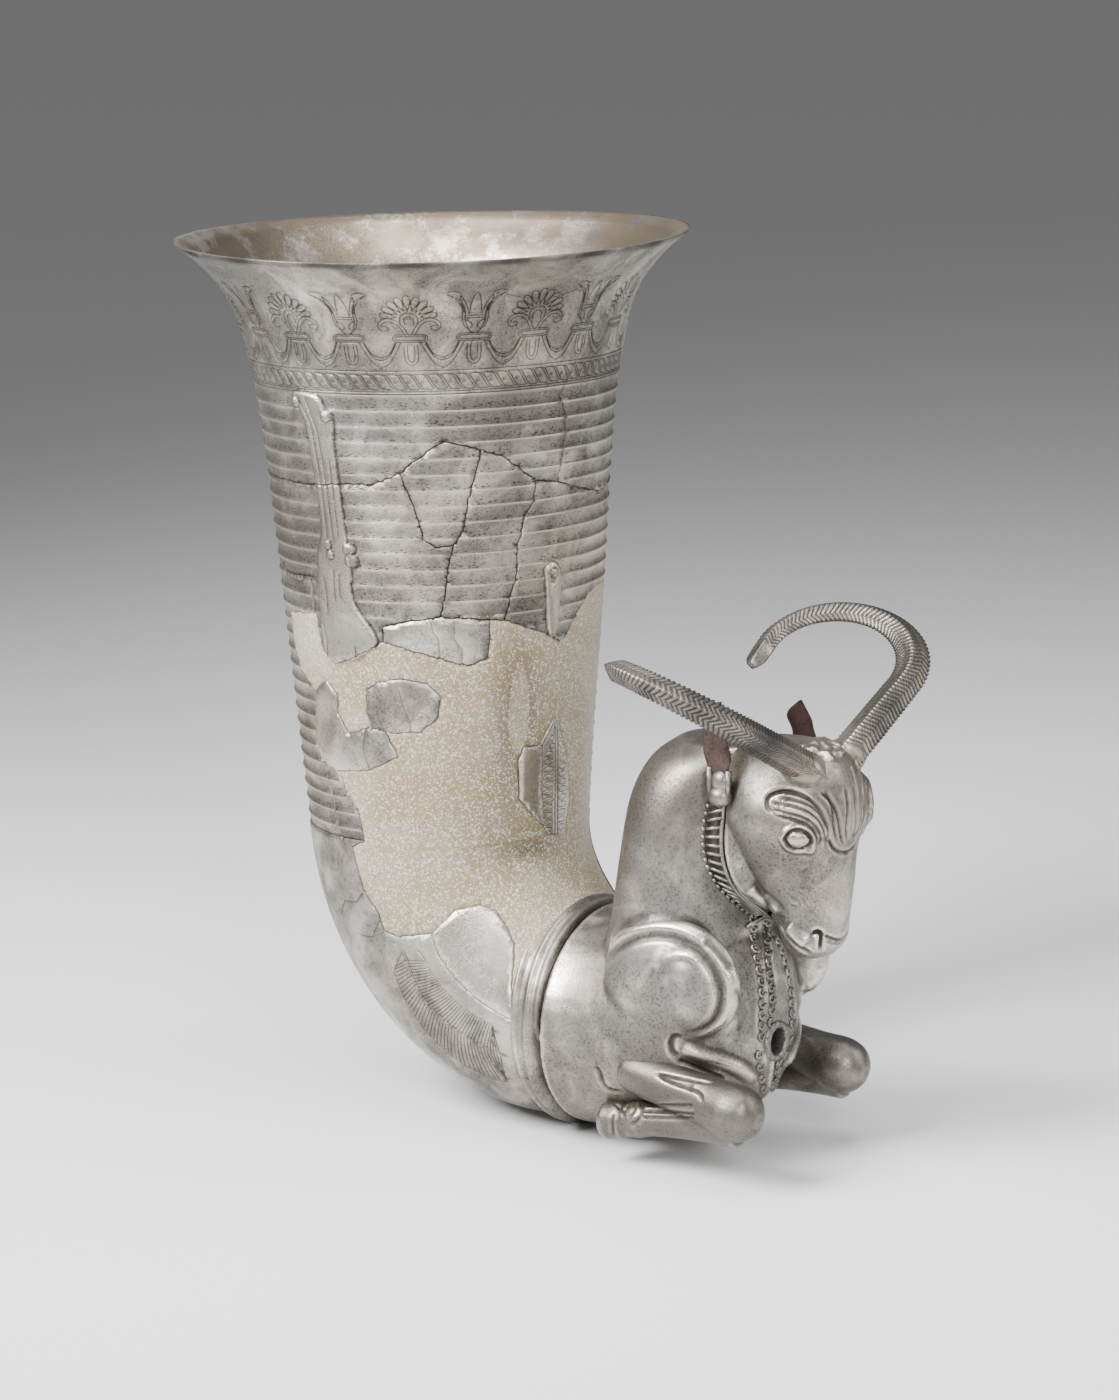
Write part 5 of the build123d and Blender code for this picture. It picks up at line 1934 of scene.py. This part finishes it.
def makeAnimalHorn(word, side):
    count = hornLook["ridges"] * hornLook["samples"]
    places, headings, normal = hornPath(side, count)
    turns = ringTurns(hornLook["around"])
    rows, grooves = [], []
    for index, (place, heading) in enumerate(zip(places, headings)):
        share = index / (count - 1)
        thin = share ** hornLook["thinning"]
        width = hornLook["rootWidth"] + (hornLook["tipWidth"] - hornLook["rootWidth"]) * thin
        thick = hornLook["rootThick"] + (hornLook["tipThick"] - hornLook["rootThick"]) * thin
        close = max(0.0, (share - 0.965) / 0.035)
        shrink = math.sqrt(max(1 - close * close, 0.02))
        lozenge = 1 / (np.abs(np.cos(turns)) ** 1.12 + np.abs(np.sin(turns)) ** 1.12) ** (1 / 1.12)
        chevron = np.abs(((turns / (math.pi / 2)) % 1.0) - 0.5) * 2
        phase = (index / hornLook["samples"] + 1.15 * chevron + 0.1 * np.sin(share * 40)) % 1.0
        saw = np.interp(phase, (0, 0.18, 0.55, 0.85, 1.0), (0.0, 1.0, 0.75, 0.15, 0.0))
        carved = 1 - smoothStep(np.array(share), hornLook["smoothTip"] - 0.02, hornLook["smoothTip"])
        depth = hornLook["ridgeDepth"] * (1.15 - 0.45 * share) * carved
        side1, side2 = np.cross(heading, normal), normal
        reach1 = (width / 2 * lozenge - depth * (1 - saw)) * shrink
        reach2 = (thick / 2 * lozenge - depth * (1 - saw)) * shrink
        rows.append(place + np.outer(np.cos(turns) * reach1, side1) + np.outer(np.sin(turns) * reach2, side2))
        grooves.append(np.clip(1.5 - saw * 1.75, 0, 1) * carved)
    faces = tubeFaces(count, hornLook["around"])
    vertices = np.array(rows).reshape(-1, 3) * mm
    return evenNormals(pieceMesh("horn_" + word + "_look", vertices, faces, {"groove": np.array(grooves).ravel()}))


ears = {
    "forward": 57.3,
    "side": 20.8,
    "foot": 115.5,
    "length": {"left": 13.0, "right": 19.5},
    "width": 8.8,
    "thick": 2.3,
    "hook": 4.4,
    "bend": 2.6,
    "cup": 0.9,
    # two lumps of the socket and two straps up the blade, from the blade's foot
    "lumps": (((0.4, 0.3, -1.6), (3.6, 2.9, 3.1)), ((0.6, 0, 2.4), (3.1, 2.3, 3.6))),
    "straps": ((0.9, ((-2.6, -1.0), (-2.8, 2.4), (-2.9, 6.4))), (0.8, ((3.2, -1.0), (3.4, 2.4), (3.3, 6.0)))),
    "outline": [(0.0, 0.30), (0.08, 0.42), (0.3, 0.50), (0.55, 0.47), (0.78, 0.34), (0.92, 0.16), (1.0, 0.03)],
}


def makeEar(word, side):
    length = ears["length"][word]
    pile = Pile()
    rows = []
    for up, wide in curveThrough(ears["outline"], 4):
        bend = ears["bend"] * up * up
        centre = np.array((ears["forward"] + bend * 0.4, side * (ears["side"] - bend * 0.5), ears["foot"]))
        centre[2] += up * length
        centre[0] -= ears["hook"] * (up - 0.5 * up * up) - 0.5 * math.sin(7 * up)
        half = max(wide, 0.02) * ears["width"] * (1 + 0.1 * math.sin(11 * up + side))
        turns = ringTurns(18)
        cup = ears["cup"] * (np.cos(turns) ** 2)
        ring = centre + np.outer(np.cos(turns) * half, (0.97, 0, 0)) + np.outer(
            np.sin(turns) * ears["thick"] * 0.5 * (0.4 + wide) + cup * side * 0.8, (0, 1, 0))
        rows.append(ring * mm)
    pile.grid(rows)
    blade = pile.finish("ear_" + word + "_look")
    socket = Pile()
    foot = np.array((ears["forward"], side * ears["side"], ears["foot"] - 5.0))
    for (x, y, z), (tall, wide, high) in ears["lumps"]:
        centre = (foot + (x, side * y, z)) * mm
        socket.blob(centre, (tall * mm, 0, 0), (0, wide * mm, 0), (0, 0, high * mm), 10, 18)
    for radius, path in ears["straps"]:
        socket.rod([(foot + (x, side * 0.9, z)) * mm for x, z in path], radius * mm, (0, side, 0))
    return blade, socket.finish("earSocket_" + word)


collar = {
    "backX": -5.8,
    "frontX": 3.2,
    "axisZ": 32.4,
    "radius": 32.4,
    "tilt": 2.7,
    # place along the collar's width from the horn, and height over its radius
    "profile": [
        (0.0, 0.1), (0.03, 0.9), (0.10, 1.2), (0.17, 1.0), (0.22, 0.35), (0.3, 0.0), (0.42, 0.0), (0.5, 0.4),
        (0.55, 1.15), (0.60, 1.25), (0.65, 0.9), (0.7, 0.3), (0.73, 0.2), (0.75, 0.15), (0.82, 0.2), (0.9, 0.55),
        (0.96, 0.5), (1.0, -0.2),
    ],
    "wall": 1.8,
    "gapAt": 224.0,
    "gapTurn": 1.75,
    "gapFrom": 0.74,
    "gapDepth": 4.5,
    "grooves": (0.2, 0.48),
    # darkness of the channel between the beads; the gap adds painted shade
    "grooveTone": 0.35,
}


def makeCollar():
    rows, openings = [], []
    backAngle, frontAngle = math.radians(90 - horn["bendStop"]), math.radians(collar["tilt"])
    profile = collar["profile"] + [(1.0, -collar["wall"]), (0.0, -collar["wall"])]
    for turn in ringTurns(160):
        ring = []
        away = abs((turn - math.radians(collar["gapAt"]) + math.pi) % (2 * math.pi) - math.pi)
        opening = max(0.0, math.cos(min(away * collar["gapTurn"], math.pi / 2)))
        openings.append(opening)
        for share, rise in profile:
            if share > collar["gapFrom"] and rise > -1:
                rise -= collar["gapDepth"] * min(1, opening * 1.7)
            elif share < collar["gapFrom"] or rise < -1:
                share *= 1 - 0.3 * opening * (rise > -1)
            radius = collar["radius"] + rise
            y, up = radius * math.sin(turn), radius * math.cos(turn)
            lean1 = collar["backX"] - up * math.tan(backAngle)
            lean2 = collar["frontX"] - up * math.tan(frontAngle)
            x = lean1 + (lean2 - lean1) * share
            ring.append((x, y, collar["axisZ"] + up))
        rows.append(ring)
    rows = np.array(rows)
    faces = tubeFaces(*rows.shape[:2], closed=True)
    low, high = collar["grooves"]
    # painted shade in the gap where the collar's front edge sinks away from the forepart, and a darker channel between
    # the beads
    dark = [
        collar["grooveTone"] + 2 * opening if share > collar["gapFrom"] else collar["grooveTone"] * (low < share < high)
        for opening in openings for share, _ in profile
    ]
    dark = np.array(dark).clip(0, 1)
    return evenNormals(pieceMesh("collar_look", rows.reshape(-1, 3) * mm, faces, {"groove": dark}))


def cutBore(piece):
    bpy.ops.mesh.primitive_cylinder_add(
        vertices=40, radius=(body["spoutRadius"] + 0.02) * mm, depth=30 * mm,
        location=(60 * mm, 0, body["spoutHeight"] * mm), rotation=(0, math.pi / 2, 0),
    )
    cutter = bpy.context.object
    cut = piece.modifiers.new("bore", "BOOLEAN")
    cut.operation = "DIFFERENCE"
    cut.object = cutter
    bpy.context.view_layer.objects.active = piece
    bpy.ops.object.modifier_apply(modifier=cut.name)
    bpy.data.objects.remove(cutter, do_unlink=True)
    bpy.ops.object.select_all(action="DESELECT")


spoutLook = {"inner": 3.7, "outer": 6.3, "front": 64.2, "depth": 11.0}


def makeSpout():
    rows = []
    front, inner, outer = spoutLook["front"], spoutLook["inner"], spoutLook["outer"]
    profile = [
        (front - spoutLook["depth"], inner), (front - 0.8, inner), (front - 0.15, inner + 0.45), (front, inner + 1.1),
        (front - 0.35, inner + 1.9), (front - 1.6, outer), (front - 4.0, outer + 0.3),
        (front - spoutLook["depth"], outer),
    ]
    rng = np.random.default_rng(3)
    for turn, rough in zip(ringTurns(64), rng.normal(0, 0.1, 64)):
        ring = []
        for index, (x, radius) in enumerate(profile):
            x += rough if index in (2, 3, 4) else 0
            radius += rough * 0.8 if index in (3, 4) else 0
            ring.append((x, radius * math.sin(turn), body["spoutHeight"] + radius * math.cos(turn)))
        rows.append(ring)
    rows = np.array(rows)
    faces = tubeFaces(*rows.shape[:2], closed=True)
    piece = evenNormals(pieceMesh("spout_look", rows.reshape(-1, 3) * mm, faces))
    # a near-black disc closes the bore: painted shade deep in the spout
    bpy.ops.mesh.primitive_cylinder_add(
        vertices=40, radius=(inner + 0.1) * mm, depth=1.0 * mm, rotation=(0, math.pi / 2, 0),
        location=((front - spoutLook["depth"] + 0.5) * mm, 0, body["spoutHeight"] * mm),
    )
    plug = bpy.context.object
    plug.name = "paintedBoreShade"
    bpy.ops.object.transform_apply(location=True, rotation=True, scale=True)
    bpy.ops.object.select_all(action="DESELECT")
    return piece, plug


def settle(piece, finish, nodes=()):
    piece.data.materials.clear()
    piece.data.materials.append(finishes[finish])
    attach(piece, "root")
    if nodes:
        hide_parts(*nodes)


say("building the wall")
wallPieces = makeWallPieces()
for name, piece in wallPieces.items():
    kind = "fill" if name == "fill_panel" else "sherd" if name in rings else "fluted"
    piece.data.shade_smooth()
    settle(piece, kind, [name])

say("shaping the animal")
bodyPiece = makeBody()
headPiece = makeHead(surfaceOf(bodyPiece))
legPieces = makeLegs()
wholeTree = surfaceOf(bodyPiece, headPiece, *legPieces)
headTree, legTree = surfaceOf(headPiece), surfaceOf(*legPieces)
sculpt(bodyPiece, wholeTree, bodyLines)
for leg in legPieces:
    sculpt(leg, legTree, legLines)
sculpt(headPiece, headTree, headLines)
addCavity(bodyPiece, 0.16)
addCavity(headPiece, 0.12)
for leg in legPieces:
    addCavity(leg, 0.13)
cutBore(bodyPiece)
settle(bodyPiece, "satin", ["body_left", "body_right"])
settle(headPiece, "satin", ["head_left", "head_right"])
for leg, word in zip(legPieces, ("left", "right")):
    settle(leg, "leg", ["foreleg_" + word])

say("adding the trim")
settle(makeRuff(surfaceOf(bodyPiece, headPiece)), "satin")
settle(makeChestCurls(surfaceOf(bodyPiece)), "satin")
settle(makeCollar(), "satin", ["collar_ring"])
spout, boreShadeDisc = makeSpout()
settle(spout, "satin", ["spout_ring"])
settle(boreShadeDisc, "bore")
for word, side in (("left", 1), ("right", -1)):
    settle(makeAnimalHorn(word, side), "animalHorn", ["horn_" + word])
    blade, socket = makeEar(word, side)
    settle(blade, "ear", ["ear_" + word])
    settle(socket, "satin")

for name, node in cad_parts.items():
    node.data.materials.clear()
    node.data.materials.append(finishes["satin"])

makeStage()
say("staged")
